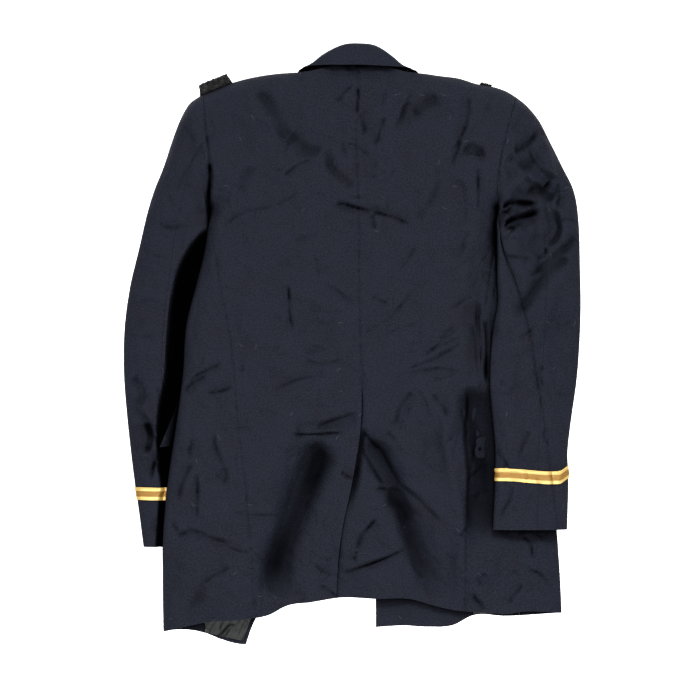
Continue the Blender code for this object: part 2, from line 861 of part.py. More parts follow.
def main():
    for old in list(bpy.data.objects):
        bpy.data.objects.remove(old, do_unlink=True)
    for side in ("left", "right"):
        wall("back_" + side, back_grid(side), CLOTH, WOOL)
        wall("side_" + side, side_grid(side), CLOTH, WOOL)
        wall("front_" + side, front_grid(side), CLOTH, WOOL)
        wall("lapel_" + side, lapel_grid(side), CLOTH, WOOL)
        sleeve(side)
        wall("flap_" + side, flap_grid(side), FLAP_WALL, WOOL)
        wall("strap_" + side, strap_grid(side), STRAP_WALL, PAD)
        wall("lining_" + side, lining_grid(side), LINING_WALL, LINING)
    wall("collar_fall", fall_grid(), COLLAR_WALL, WOOL)
    wall("collar_stand", stand_grid(), CLOTH, WOOL)
    for i in range(BUTTONS):
        turned_button(f"button_{i + 1}", BUTTON_X, BUTTON_TOP_Y - i * BUTTON_STEP)


main()
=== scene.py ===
"""The looks of a military dress tunic that lies face down on a flat surface, back upwards.

+X is the wearer's right, +Y runs from the hem to the collar and +Z is up. Every table is in
millimetres, and meshes are made in metres. Each piece of cloth is a fine grid of points on
the form of its own solid, with its creases and seams pressed in, made into a wall.
"""

import bmesh
import bpy
import numpy as np
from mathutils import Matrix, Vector


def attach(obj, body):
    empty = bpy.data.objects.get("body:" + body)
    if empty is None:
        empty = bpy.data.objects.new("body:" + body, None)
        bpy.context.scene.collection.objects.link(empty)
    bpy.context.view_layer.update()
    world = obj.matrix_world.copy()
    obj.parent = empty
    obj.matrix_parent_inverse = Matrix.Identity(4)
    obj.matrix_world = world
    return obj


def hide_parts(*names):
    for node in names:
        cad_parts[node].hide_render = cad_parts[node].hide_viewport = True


MM = 0.001

CLOTH = 1.6  # wall of the body and sleeves
FLAP_WALL = 1.4
COLLAR_WALL = 2.2
BRAID_WALL = 1.0
STRAP_WALL = 3.0
LINING_WALL = 1.0
SEAM = 0.3  # gap between two pieces at a seam
LAYER = 0.6  # least air between two layers that lie on each other

FOLD_RISE = 6.0  # height of the turned side above what it lies on
SIDE_ROUND = 38.0  # distance over which the upper layer rounds down to a side
SHOULDER_ROUND = 30.0
LOWER_ROUND = 12.0  # the same for the lower layer
ROUNDNESS = 2.2  # exponent of those rounded edges

UNDERARM_Y = 200.0
VENT_TOP_Y = -117.0
SLEEVE_LIFT = 8.6  # how far the body lies above the surface on the left sleeve
VENT_LAP = 42.0  # how far the right back reaches under the left one
VENT_DROP = 2.8
UNDER_SIDE = 55.0  # how far a side panel reaches in on the lower layer

BUTTON_HEIGHT = 7.0
BUTTON_X = 10.0
BUTTON_TOP_Y = 118.0
BUTTON_STEP = 67.0
BUTTONS = 4

NECK_X = 9.0  # middle of the collar
# The neck opens inside the first, and the shoulders start at the second.
NECK_HALF, NECK_ROUND = 62.0, 80.0

# How finely the cloth is made, and how far its seams and creases are drawn.
CLOTH_STEP = 1.9  # spacing of the points on what shows, in millimetres
HIDDEN_STEP = 4.0
TUBE_ABOVE, TUBE_BELOW = 80, 48  # columns of a sleeve's upper and lower layers
TUBE_SEAM = 0.41  # where a sleeve's seams run, as a share of its width from the outer edge
CLOSED = 0.02  # half the gap left at a seam that is drawn shut
EDGE_ROUND = 0.05  # how far the faces of a wall stop short of its edge, over its thickness
SHARP_ANGLE = 0.9  # radians; the cloth turns sharper than this only at its cut edges
SEED = 7
BODY_PRESS, SLEEVE_PRESS = 1.3, 1.2  # how much deeper the creases are worn than pressed
FOLD_PRESS = 1.2
CRUMPLE_DEPTH = 1.9
LIP_WIDTH = 5.0  # a crease narrower than this throws up a lip on one side
SUNK_DEPTH, WEDGE_DEPTH = 7.0, 4.0  # beside the right sleeve, and at the top of the vent
# Painted shade of each kind of hollow, from 0 to 1: painted shadow beside the right sleeve, painted
# shade in folds, in creases, in the sleeves' creases, at the top of the vent, on the pocket flaps,
# and on the left sleeve's pressed strip, painted nearly black.
SUNK_SHADE, FOLD_SHADE, CREASE_SHADE, SLEEVE_SHADE = 0.3, 0.74, 0.24, 0.3
WEDGE_SHADE, FLAP_SHADE, STRIP_SHADE = 0.6, 0.35, 0.99

# the third colour is the near-black painted shade that the wool darkens towards in folds and gaps
WOOL_DARK, WOOL_PALE, WOOL_PAINTED_SHADE, LINT = "#222129", "#242933", "#020203", "#8D8F96"
BRAID_WIDTH, BRAID_RELIEF = 20.0, 0.5
FULL_TURN = 6.283  # radians
ROOM_LIGHT = 0.25
# name, place, size across and power in watts
LAMPS = (
    ("key", (0.3, 3.2, 3.4), 1.0, 140.0),
    ("fill", (0.0, -0.7, 2.3), 1.2, 56.0),
)
CAMERA_HEIGHT, FRAME_WIDTH, CAMERA_CENTRE = 4.0, 1.029, (-0.0029, -0.0073)


def columns(names, rows):
    """A table as a dictionary of columns."""
    values = np.array(rows, float)
    return {name: values[:, i] for i, name in enumerate(names.split())}


# Outlines of the body, from the hem up: its two sides, the side-back seams and the centre back.
# Above the underarm the sides are the armholes.
BODY = columns(
    "y left left_seam centre right_seam right",
    (
        (-420, -276, -139, -22, 166, 308),
        (-348, -277, -145, -22, 167, 305),
        (-276, -276, -150, -15, 168, 300),
        (-198, -269, -157, 1, 172, 292),
        (-117, -257, -167, 13, 186, 281),
        (-40, -247, -173, 14, 188, 268),
        (30, -242, -182, 12, 192, 256),
        (94, -226, -194, 10, 201, 237),
        (140, -215, -201, 10, 208, 219),
        (200, -210, -209.4, 10, 213.4, 214),
        (230, -208, -208, 9, 212, 212),
        (267, -208, -208, 7, 217, 217),
        (315, -213, -213, 6, 227, 227),
        (366, -217, -217, 9, 240, 240),
    ),
)

# The top edge of the backs and fronts: shoulder seams and back neck.
TOP = columns(
    "x y",
    (
        (-240, 357),
        (-217, 367),
        (-175, 384),
        (-120, 396),
        (-85, 399),
        (-62, 400),
        (-30, 408),
        (10, 413),
        (48, 407),
        (80, 399),
        (100, 398),
        (129, 394),
        (158, 390),
        (180, 383),
        (214, 376),
        (229, 370),
        (240, 363),
    ),
)

# The hem of the back and side panels.
HEM = columns(
    "x y",
    (
        (-280, -421),
        (-241, -412),
        (-205, -405),
        (-160, -402),
        (-120, -395),
        (-97, -383),
        (-60, -377),
        (-22, -371),
        (35, -372),
        (88, -373),
        (119, -382),
        (150, -389),
        (194, -392),
        (226, -394),
        (248, -391),
        (310, -393),
    ),
)

# The front edges, from the hem to the lowest button, up to the top one, then the lapel roll.
FRONT = columns(
    "y left right",
    (
        (-440, -156, 35),
        (-414, -147, 35),
        (-380, -131, 35),
        (-300, -117, 31),
        (-240, -91, 24),
        (-190, -58, 16),
        (-130, 0, 3),
        (-85, 30, -10),
        (20, 30, -10),
        (130, 30, -10),
        (200, 6, 14),
        (300, -28, 48),
        (400, -62, 82),
    ),
)

# The lower edges of the two fronts, which hang lower than the back.
FRONT_HEM_LEFT = columns(
    "x y",
    (
        (-280, -420),
        (-244, -418),
        (-219, -422),
        (-195, -431),
        (-167, -439),
        (-150, -440),
    ),
)
FRONT_HEM_RIGHT = columns(
    "x y",
    (
        (30, -415),
        (72, -412),
        (113, -414),
        (150, -411),
        (175, -398),
        (226, -398),
        (310, -393),
    ),
)

# Height of the upper layer of the body near its two sides and at the centre back.
LOFT = columns(
    "y left centre right",
    (
        (-420, 17, 9, 12),
        (-340, 21, 13, 15),
        (-260, 24, 17, 19),
        (-180, 25, 20, 20),
        (-110, 25, 22, 20),
        (-20, 25, 22, 20),
        (90, 27, 25, 24),
        (190, 30, 29, 30),
        (280, 34, 32, 34),
        (350, 33, 33, 33),
        (416, 25, 29, 25),
    ),
)

# The largest folds of the back. Each follows a curve through a start, a pull and an end.
FOLDS = columns(
    "start_x start_y pull_x pull_y end_x end_y width height",
    (
        (-45, -132, -104, -260, -114, -382, 24, -12),
        (16, -125, 89, -254, 128, -388, 21, -10),
        (135, -106, 156, -200, 163, -384, 18, 3),
        (192, -60, 194, -170, 186, -280, 20, -6),
        (-95, 300, -60, 285, -35, 272, 24, -4),
        (75, 352, 100, 340, 135, 338, 22, -4),
        (155, 300, 175, 280, 195, 270, 20, -4),
        (-84, -128, -40, -120, 8, -106, 10, -4),
        (-27, 203, 5, 204, 40, 190, 9, -3),
    ),
)

# Width of what is turned out over the fronts: the lapel, then the front of the collar.
TURNED = columns(
    "y width",
    ((120, 2), (135, 6), (170, 36), (220, 66), (280, 88), (312, 94), (352, 60), (400, 36)),
)

# Rings of the sleeves from the armhole to the cuff: outer edge, inner edge, height of the
# upper layer, and where the body presses the left one flat. The second and third rings from
# the end are the two edges of the braid.
LEFT_SLEEVE = columns(
    "outer_x outer_y inner_x inner_y loft ridge_x",
    (
        (-217, 367, -211, 200, 31, -190),
        (-237, 354, -210.5, 189, 30, -192),
        (-252, 328, -209, 177, 29, -206),
        (-264, 296, -208, 162, 28, -209),
        (-276, 260, -208, 146, 26, -217),
        (-290, 225, -205, 124, 24, -228),
        (-301, 188, -203, 98, 22, -241),
        (-312, 140, -199, 68, 20, -255),
        (-325, 85, -197, 32, 19, -264),
        (-333, 25, -198, -8, 18, -269),
        (-334, -37, -200, -55, 17, -273),
        (-330, -95, -199, -110, 16, -283),
        (-323, -161, -195, -166, 15, -284),
        (-317, -208, -192, -211, 14, -278),
        (-314, -227, -191, -230, 14, -281),
        (-305, -296, -188, -298, 13, -286),
    ),
)
RIGHT_SLEEVE = columns(
    "outer_x outer_y inner_x inner_y loft",
    (
        (240, 363, 214, 200, 31),
        (256, 350, 212.5, 189, 30),
        (274, 328, 211.5, 176, 29),
        (290, 297, 212, 162, 28),
        (308, 261, 212, 145, 25),
        (325, 225, 212, 122, 23),
        (332, 180, 212, 95, 20),
        (334, 115, 213, 62, 18),
        (335, 55, 207, 25, 16),
        (333, 0, 203, -15, 15),
        (329, -51, 202, -60, 14),
        (321, -106, 206, -105, 13),
        (315, -150, 210, -150, 13),
        (315, -175, 210, -180, 12),
        (316, -194, 210, -199, 12),
        (314, -270, 206, -270, 12),
    ),
)

SLEEVES = {"left": LEFT_SLEEVE, "right": RIGHT_SLEEVE}

# The collar, from its left front point round the back of the neck to its right front point:
# the roll line at its top, and the free edge of the fall.
COLLAR = columns(
    "roll_x roll_y roll_z edge_x edge_y edge_z",
    (
        (-34, 316, 1.2, -116, 322, 1.2),
        (-44, 350, 1.2, -106, 352, 1.2),
        (-55, 384, 1.2, -88, 380, 1.2),
        (-64, 402, 1.2, -80, 400, 1.2),
        (-66, 406.5, 7, -75, 404, 6),
        (-58, 411, 22, -65, 407, 25),
        (-41, 424, 31, -40, 408, 36),
        (-14, 437, 34, -14, 408, 38),
        (10, 439, 35, 10, 408, 39),
        (34, 436, 34, 34, 407, 38),
        (57, 422, 31, 57, 406, 36),
        (73, 408.5, 22, 80, 405, 25),
        (81, 406, 7, 90, 403, 6),
        (82, 401, 1.2, 98, 399, 1.2),
        (73, 382, 1.2, 106, 378, 1.2),
        (62, 350, 1.2, 124, 352, 1.2),
        (52, 316, 1.2, 134, 322, 1.2),
    ),
)
COLLAR_BULGE = 2.5
STAND_FIRST, STAND_LAST = 5, 11  # the collar stations that the stand follows
STAND_BEYOND = 2.3  # how many stations the stand reaches past them at each end
STAND_IN = 3.6  # how far the stand lies inside the fall at the roll line
STAND_NARROW = 0.99  # its width over the fall's

# A body whose hem and shoulders were straight would reach between these heights.
HEM_ROW, SHOULDER_ROW = -400.0, 400.0
HEM_ZONE, SHOULDER_ZONE = -300.0, 300.0  # between these the rows are level


# --- creases, each a trough through a start, a middle and an end ----------------------------

# On the back and the side panels. Depth is how far it is pressed in.
CREASE_COLUMNS = "start_x start_y middle_x middle_y end_x end_y width depth"
BODY_CREASES = columns(
    CREASE_COLUMNS,
    (
        # between the shoulders
        (-137, 374, -112, 330, -82, 297, 9, 2.2),
        (-92, 302, -66, 289, -44, 282, 8, 2.2),
        (-42, 284, -20, 250, 2, 226, 6, 2.0),
        (-24, 354, -12, 367, 0, 379, 1.6, 1.0),
        (-114, 254, -108, 255, -100, 255, 1.6, 0.7),
        (-101, 245, -82, 260, -58, 273, 1.7, 1.2),
        (-8, 293, 10, 288, 26, 274, 1.6, 0.9),
        (-17, 294, -11, 284, -10, 270, 2.4, 0.8),
        (-152, 262, -153, 240, -161, 220, 8, 1.0),
        (-205, 235, -200, 228, -182, 221, 2.4, 0.7),
        (-131, 331, -126, 320, -119, 308, 3, 0.7),
        (10, 376, 9, 355, 10, 336, 2.2, 1.2),
        (10, 338, 16, 322, 21, 305, 2.6, 1.4),
        (48, 374, 46, 360, 45, 346, 2.0, 0.6),
        (46, 334, 42, 312, 31, 290, 2.0, 1.2),
        (86, 354, 74, 338, 62, 312, 3.4, 1.5),
        (128, 357, 106, 349, 86, 344, 9, 1.9),
        (172, 363, 167, 328, 150, 282, 2.4, 1.5),
        (158, 300, 152, 280, 147, 259, 2.2, 1.4),
        (193, 286, 178, 285, 163, 290, 7, 2.2),
        (188, 277, 177, 279, 164, 277, 1.8, 1.0),
        (182, 260, 185, 230, 182, 193, 1.9, 1.3),
        (165, 232, 166, 205, 165, 176, 2.2, 0.7),
        (152, 240, 159, 236, 166, 226, 2.2, 0.7),
        (134, 242, 113, 210, 93, 181, 5, 1.1),
        # the left armhole above the underarm
        (-208, 266, -208, 235, -211, 196, 2.6, 3.4),
        # the strong crease across the shoulder blades
        (-24, 204, 2, 203, 31, 191, 1.9, 1.9),
        (29, 193, 54, 189, 84, 174, 2.0, 1.8),
        (30, 192, 32, 180, 31, 168, 2.6, 1.3),
        (-8, 214, 8, 215, 24, 213, 1.7, 0.7),
        (-186, 176, -152, 194, -110, 204, 1.9, 0.9),
        (-110, 204, -94, 213, -78, 225, 1.9, 0.8),
        (-84, 150, -66, 158, -48, 161, 1.8, 0.7),
        (18, 246, 28, 246, 39, 245, 1.7, 0.6),
        (172, 167, 163, 146, 150, 121, 2.6, 0.9),
        (95, 144, 83, 128, 72, 110, 2.0, 0.9),
        (-53, 130, -51, 114, -47, 98, 2.0, 0.7),
        (-38, 90, -17, 75, 6, 58, 1.8, 0.9),
        # the waist
        (-94, 90, -91, 56, -87, 20, 1.7, 1.3),
        (-57, 48, -34, 49, -12, 47, 1.5, 0.5),
        (-47, 32, -36, 33, -22, 36, 1.5, 0.6),
        (-68, -19, -42, -27, -13, -21, 1.8, 0.9),
        (-117, -9, -111, -6, -106, -3, 1.5, 0.6),
        (-241, -55, -216, -39, -188, -25, 2.0, 1.5),
        (-246, -72, -232, -55, -212, -44, 2.2, 1.2),
        (-213, -72, -192, -67, -172, -59, 1.9, 1.5),
        (-248, -64, -240, -60, -229, -56, 2.6, 1.3),
        (-162, -30, -160, -34, -165, -40, 2.0, 0.7),
        (-118, -68, -82, -52, -30, -46, 1.9, 1.1),
        (-136, -97, -128, -96, -120, -95, 1.5, 0.5),
        (28, 70, 41, 65, 56, 62, 1.6, 0.9),
        (88, 84, 70, 55, 42, 29, 1.7, 0.8),
        (42, 29, 30, 24, 20, 18, 1.7, 0.7),
        (178, 71, 160, 62, 142, 53, 1.8, 1.0),
        (104, -16, 129, 3, 158, 27, 1.7, 0.9),
        (128, 8, 138, 18, 149, 29, 1.6, 0.8),
        (114, -7, 135, 1, 158, 13, 1.7, 0.8),
        (126, -17, 142, -7, 159, 3, 1.6, 0.8),
        (80, -36, 118, -21, 153, -4, 1.8, 0.9),
        (75, -43, 120, -35, 158, -41, 1.8, 0.9),
        (118, -51, 136, -47, 154, -42, 1.6, 0.6),
        # above the vent and beside it
        (-88, -128, -50, -131, -6, -125, 1.7, 1.9),
        (-54, -123, -28, -111, 8, -98, 2.0, 1.2),
        (88, -66, 73, -90, 61, -121, 2.6, 1.2),
        (87, -65, 107, -80, 114, -119, 1.9, 0.7),
        (52, -125, 57, -132, 63, -141, 2.0, 1.2),
        (118, -71, 131, -88, 140, -106, 2.6, 1.2),
        (14, -124, 40, -157, 73, -208, 2.3, 2.6),
        (70, -204, 96, -226, 134, -262, 2.0, 1.5),
        (12, -150, 30, -178, 52, -209, 2.2, 1.8),
        (34, -213, 50, -210, 71, -217, 2.0, 1.5),
        (-71, -203, -58, -197, -45, -189, 1.8, 1.5),
        (-16, -186, -8, -191, 1, -198, 2.6, 1.6),
        # the left half of the skirt
        (-199, -126, -198, -155, -187, -180, 2.4, 1.3),
        (-187, -178, -185, -191, -186, -204, 2.4, 1.0),
        (-237, -138, -236, -150, -239, -168, 3.0, 1.6),
        (-229, -186, -226, -220, -226, -256, 2.4, 1.4),
        (-236, -172, -246, -200, -256, -228, 2.8, 1.4),
        (-263, -256, -260, -266, -256, -276, 2.2, 1.1),
        (-257, -276, -238, -274, -219, -272, 2.8, 1.6),
        (-220, -272, -204, -284, -176, -289, 2.4, 1.4),
        (-181, -296, -166, -302, -147, -303, 1.8, 1.1),
        (-181, -323, -198, -337, -220, -349, 2.2, 1.2),
        (-176, -246, -140, -248, -97, -252, 1.7, 0.8),
        (-54, -323, -43, -330, -30, -340, 1.8, 0.9),
        (-45, -352, -35, -360, -23, -370, 1.8, 0.8),
        (-212, -352, -226, -368, -238, -396, 7, 1.2),
        # the right half of the skirt
        (36, -255, 20, -272, 6, -303, 1.9, 1.7),
        (7, -302, 5, -308, 5, -318, 1.9, 1.2),
        (-14, -337, 35, -317, 86, -296, 1.9, 1.9),
        (88, -318, 96, -330, 108, -345, 1.8, 0.8),
        (162, -92, 165, -116, 168, -144, 2.4, 1.6),
        (188, 66, 185, 20, 190, -30, 3.4, 2.2),
        (198, 40, 196, -5, 200, -60, 3.2, 2.0),
        (176, 30, 182, -8, 184, -60, 2.6, 1.2),
        (184, -78, 180, -110, 188, -136, 2.8, 1.6),
        (198, -132, 186, -146, 182, -174, 3.2, 2.2),
        (166, -202, 184, -186, 207, -177, 2.2, 1.4),
        (180, -224, 190, -219, 202, -212, 2.4, 1.4),
        (252, -279, 262, -294, 266, -315, 2.0, 1.2),
        (257, -331, 275, -336, 294, -356, 1.9, 1.2),
        (250, -350, 239, -365, 230, -381, 2.2, 1.3),
        (194, -333, 188, -344, 184, -354, 4, 1.3),
        (177, -362, 186, -377, 195, -388, 1.9, 1.9),
        (158, -280, 163, -273, 171, -268, 2.2, 1.4),
    ),
)

# On the left sleeve.
LEFT_CREASES = columns(
    CREASE_COLUMNS,
    (
        (-216, 297, -236, 265, -258, 220, 2.0, 0.8),
        (-283, 177, -266, 172, -240, 178, 2.0, 1.0),
        (-270, 221, -262, 208, -247, 186, 2.4, 0.6),
        (-320, -44, -311, -66, -316, -94, 7, 2.4),
        (-316, -88, -306, -106, -298, -126, 6, 2.2),
        (-299, -112, -297, -135, -298, -160, 4.6, 5.0),
        (-286, -62, -281, -84, -276, -108, 2.6, 1.4),
        (-280, -154, -288, -174, -298, -197, 2.6, 3.2),
        (-284, -130, -286, -150, -292, -170, 3.0, 1.4),
        (-289, -254, -286, -266, -288, -278, 6, 1.4),
        (-316, 60, -300, 66, -282, 62, 2.2, 0.8),
        (-326, 18, -308, 12, -290, 18, 2.0, 0.8),
        (-306, 140, -290, 130, -262, 128, 2.2, 0.8),
        (-250, 330, -240, 312, -226, 296, 3.0, 0.9),
    ),
)

# On the right sleeve, which is bunched below its head.
RIGHT_CREASES = columns(
    CREASE_COLUMNS,
    (
        (235, 283, 252, 288, 270, 316, 3.6, 2.6),
        (226, 270, 247, 265, 268, 262, 6, 2.6),
        (276, 318, 282, 305, 300, 288, 3.4, 1.6),
        (284, 238, 292, 228, 300, 214, 7, 4.2),
        (252, 246, 268, 234, 284, 218, 3.0, 2.4),
        (258, 230, 276, 222, 296, 216, 6, 3.6),
        (219, 199, 242, 208, 274, 205, 2.8, 5.0),
        (220, 190, 226, 196, 234, 198, 3.6, 4.0),
        (225, 175, 243, 188, 274, 195, 3.4, 6.0),
        (224, 178, 229, 172, 236, 164, 4.2, 4.6),
        (296, 200, 302, 170, 286, 140, 3.8, 3.6),
        (286, 142, 280, 132, 272, 123, 2.8, 1.8),
        (301, 238, 302, 218, 300, 198, 2.4, 1.8),
        (324, 164, 304, 134, 262, 100, 6, 3.6),
        (311, 132, 284, 98, 230, 42, 8, 3.6),
        (262, 101, 272, 108, 282, 110, 2.6, 1.6),
        (222, 131, 241, 128, 263, 124, 1.8, 1.2),
        (304, 182, 318, 182, 333, 180, 1.8, 1.2),
        (268, 30, 256, 18, 247, 7, 2.2, 1.2),
        (280, -28, 274, -42, 280, -62, 2.6, 1.0),
        (258, -125, 252, -142, 244, -166, 2.4, 1.5),
        (280, -122, 282, -136, 287, -149, 2.2, 1.3),
        (212, -151, 219, -166, 229, -180, 2.4, 2.0),
        (238, -206, 226, -231, 216, -255, 2.2, 1.4),
        (324, 40, 312, 30, 300, 34, 2.2, 0.8),
        (322, -70, 308, -74, 296, -70, 2.2, 0.8),
    ),
)

# Ridges of the right sleeve, as troughs of negative depth.
RIGHT_RIDGES = columns(
    CREASE_COLUMNS,
    (
        (260, 286, 274, 262, 308, 244, 3.2, -3.4),
        (228, 190, 246, 196, 268, 201, 3.2, -2.4),
        (236, 160, 262, 166, 290, 160, 12, -2.0),
        (312, 108, 280, 40, 240, -20, 12, -2.4),
        (238, 4, 230, -40, 226, -76, 9, -2.0),
        (254, 300, 262, 306, 266, 320, 3.4, -1.6),
    ),
)

# Broad folds of the skirt, over those that its solid has.
BODY_FOLDS = columns(
    CREASE_COLUMNS,
    (
        (-38, -140, -85, -236, -112, -376, 19, 6.6),
        (24, -140, 78, -240, 116, -372, 11, 4.2),
        (52, -214, 68, -232, 80, -262, 9, 3.0),
        (134, -100, 152, -220, 162, -384, 10, -3.2),
        (176, -60, 184, -150, 190, -255, 14, 5.0),
        (-120, -160, -122, -260, -128, -380, 18, -1.5),
    ),
)


# Small folds of the fronts, where they show below the back.
FRONT_FOLDS = columns(
    CREASE_COLUMNS,
    (
        (66, -418, 74, -396, 88, -372, 3, -2.6),
        (128, -416, 132, -402, 146, -390, 4, -1.2),
        (-196, -432, -186, -420, -170, -412, 3, -1.6),
    ),
)


# --- curves and edges ---------------------------------------------------------------------


def along(table, key, name, at):
    """A smooth curve through a column of a table, read at a place in its key column."""
    order = np.argsort(table[key])
    xs, ys = table[key][order], table[name][order]
    at = np.clip(np.asarray(at, float), xs[0], xs[-1])
    slopes = np.gradient(ys, xs)
    i = np.clip(np.searchsorted(xs, at) - 1, 0, len(xs) - 2)
    step = xs[i + 1] - xs[i]
    t = (at - xs[i]) / step
    return (
        ys[i] * (2 * t**3 - 3 * t**2 + 1)
        + slopes[i] * step * (t**3 - 2 * t**2 + t)
        + ys[i + 1] * (3 * t**2 - 2 * t**3)
        + slopes[i + 1] * step * (t**3 - t**2)
    )


def body(name, y):
    return along(BODY, "y", name, y)


def ease(value, start, end):
    """0 before start, 1 after end, smooth between. Start may be the larger."""
    t = np.clip((np.asarray(value, float) - start) / (end - start), 0, 1)
    return t * t * (3 - 2 * t)


def rounded(distance, reach):
    """The rise of a rounded edge: 0 at the edge, 1 from its reach on."""
    t = 1 - np.clip(np.asarray(distance, float) / reach, 0, 1)
    return (1 - t**ROUNDNESS) ** (1 / ROUNDNESS)


def rows_of(table, middle):
    """Each row of a table of curves: its start, the point named middle and its end, and the row."""
    for i in range(len(table["width"])):
        row = {name: table[name][i] for name in table}
        points = [np.array((row[n + "_x"], row[n + "_y"])) for n in ("start", middle, "end")]
        yield *points, row


def curve_gap(x, y, start, pull, end, pieces):
    """Distance to a curve with one pull point, the side it is on, and the place along it."""
    best = np.full(np.shape(x), np.inf)
    side, place = np.zeros(np.shape(x)), np.zeros(np.shape(x))
    t = np.linspace(0, 1, pieces + 1)[:, None]
    points = (1 - t) ** 2 * start + 2 * t * (1 - t) * pull + t**2 * end
    for i in range(pieces):
        a, run = points[i], points[i + 1] - points[i]
        dx, dy = x - a[0], y - a[1]
        s = np.clip((dx * run[0] + dy * run[1]) / (run @ run), 0, 1)
        gap = np.hypot(dx - s * run[0], dy - s * run[1])
        nearer = gap < best
        place = np.where(nearer, (i + s) / pieces, place)
        side = np.where(nearer, np.sign(run[0] * dy - run[1] * dx), side)
        best = np.minimum(gap, best)
    return best, side, place


# --- the layers of the body ---------------------------------------------------------------


def side_distance(x, y, side):
    """Distance in from a side of the body. Above the underarm it is the distance to it."""
    edge = body(side, y)
    inward = (x - edge) if side == "left" else (edge - x)
    above = np.clip(y - UNDERARM_Y, 0, None)
    return np.where(above > 0, np.hypot(inward, above), np.clip(inward, 0, None))


def shoulder_distance(x, y):
    """Distance below the shoulder line. The back neck is open, so it counts as far away."""
    neck = 1 - ease(np.abs(x - NECK_X), NECK_HALF, NECK_ROUND + 8)
    return along(TOP, "x", "y", x) - y + 80 * neck


def sleeve_lift(x, y):
    """How far the body is raised where it lies on the flattened part of the left sleeve."""
    return SLEEVE_LIFT * ease(x, -158, -186) * ease(y, 199, 176) * ease(y, -335, -303)


def turned_lift(x, y, side):
    """How far a front is raised over its own lapel and the front of the collar."""
    roll = along(FRONT, "y", side, y)
    outer = along(TURNED, "y", "width", y)
    outward = (roll - x) if side == "left" else (x - roll)
    return 3.4 * ease(outward, outer + 50, outer + 26) * ease(y, 112, 130)


def button_lift(x, y):
    """How far both fronts are raised over the row of buttons."""
    lowest = BUTTON_TOP_Y - BUTTON_STEP * (BUTTONS - 1)
    run = ease(y, lowest - 55, lowest - 16) * ease(y, BUTTON_TOP_Y + 62, BUTTON_TOP_Y + 20)
    return (BUTTON_HEIGHT + LAYER) * run * ease(np.abs(x - BUTTON_X), 75, 24)


def lap_lift(x, y):
    """How far the right front is raised where it lies on the left one."""
    return (CLOTH + 2.2) * ease(x, 84, 62) * ease(y, -175, -140)


def flap_lift(x, y, side):
    """How far a front is raised over its pocket flap."""
    inner = -120 if side == "left" else 92
    inward = (x - inner) if side == "left" else (inner - x)
    return (CLOTH + LAYER + 0.6) * ease(inward, 52, 34) * ease(y, -18, -50) * ease(y, -196, -166)


def fold_height(x, y, side):
    return FOLD_RISE + (sleeve_lift(x, y) if side == "left" else 0)


def lower_layer(x, y, side):
    """Height of a front, or of the lower part of a side panel."""
    flat = CLOTH / 2 + turned_lift(x, y, side) + button_lift(x, y)
    flat = flat + flap_lift(x, y, side)
    if side == "right":
        flat = flat + lap_lift(x, y)
    else:
        flat = np.maximum(flat, CLOTH / 2 + sleeve_lift(x, y))
    edge = np.minimum(side_distance(x, y, side), shoulder_distance(x, y))
    up = 1 - rounded(edge, LOWER_ROUND)
    return flat + (np.maximum(fold_height(x, y, side), flat + 1) - flat) * up


def loft(x, y):
    """Height of the upper layer before its edges are rounded and its folds pressed in."""
    centre = body("centre", y)
    half = np.where(x < centre, centre - body("left", y), body("right", y) - centre)
    share = ease(np.abs(x - centre) / half, 0.05, 0.62)
    side = np.where(x < centre, along(LOFT, "y", "left", y), along(LOFT, "y", "right", y))
    return along(LOFT, "y", "centre", y) * (1 - share) + side * share


def folds(x, y):
    """The rise and fall of the back's largest folds."""
    total = np.zeros(np.shape(x))
    for start, pull, end, row in rows_of(FOLDS, "pull"):
        gap, _, place = curve_gap(x, y, start, pull, end, 16)
        fade = ease(place, 0, 0.12) * (1 - 0.6 * ease(place, 0.85, 1))
        total += row["height"] * np.exp(-((gap / row["width"]) ** 2)) * fade
    return total


def least_height(x, y):
    """The lowest that the upper layer may lie, on the surface or on the fronts."""
    left_edge, right_edge = along(FRONT, "y", "left", y), along(FRONT, "y", "right", y)
    covered = np.maximum(ease(x, left_edge + 14, left_edge), ease(x, right_edge - 14, right_edge))
    under = np.maximum(sleeve_lift(x, y), button_lift(x, y))
    return CLOTH / 2 + LAYER + covered * (CLOTH + LAYER) + under


# --- cloth surfaces -------------------------------------------------------------------------

def pressed(x, y, table):
    """The depth of a table of creases. Each is a trough with thin ends, and a narrow one has a
    soft lip on one side and a dip on the other."""
    total = np.zeros(np.shape(x))
    for i, (start, middle, end, row) in enumerate(rows_of(table, "middle")):
        width = row["width"]
        reach = 8 * width + 4
        low = np.minimum(np.minimum(start, middle), end) - reach
        high = np.maximum(np.maximum(start, middle), end) + reach
        near = (x > low[0]) & (x < high[0]) & (y > low[1]) & (y < high[1])
        if not near.any():
            continue
        pull = 2 * middle - (start + end) / 2
        gap, turn, place = curve_gap(x[near], y[near], start, pull, end, 12)
        away = gap * turn - width * 0.5 * np.sin(place * (5 + i % 4) + i)
        side = 1 if i % 3 else -1
        lip = np.exp(-(((away * side - 3 * width) / (2.4 * width)) ** 2))
        dip = np.exp(-(((away * side + 2 * width) / (3 * width)) ** 2))
        beside = 0.4 * lip - 0.35 * dip if width < LIP_WIDTH else 0.0
        taper = ease(place, -0.02, 0.14) * ease(place, 1.02, 0.8)
        uneven = 1 + 0.25 * np.sin(place * 9 + 2.3 * i)
        total[near] += row["depth"] * taper * uneven * (beside - np.exp(-((away / width) ** 2)))
    return total


def waves(x, y, seed, count, shortest, longest):
    """A random smooth surface about 1 high, from crossing waves of the given lengths."""
    dice = np.random.default_rng(seed)
    total = np.zeros(np.shape(x))
    for _ in range(count):
        length = shortest * (longest / shortest) ** dice.random()
        angle, phase = dice.random(2) * 2 * np.pi
        total += np.sin((x * np.cos(angle) + y * np.sin(angle)) * 2 * np.pi / length + phase)
    return total / np.sqrt(count / 2)


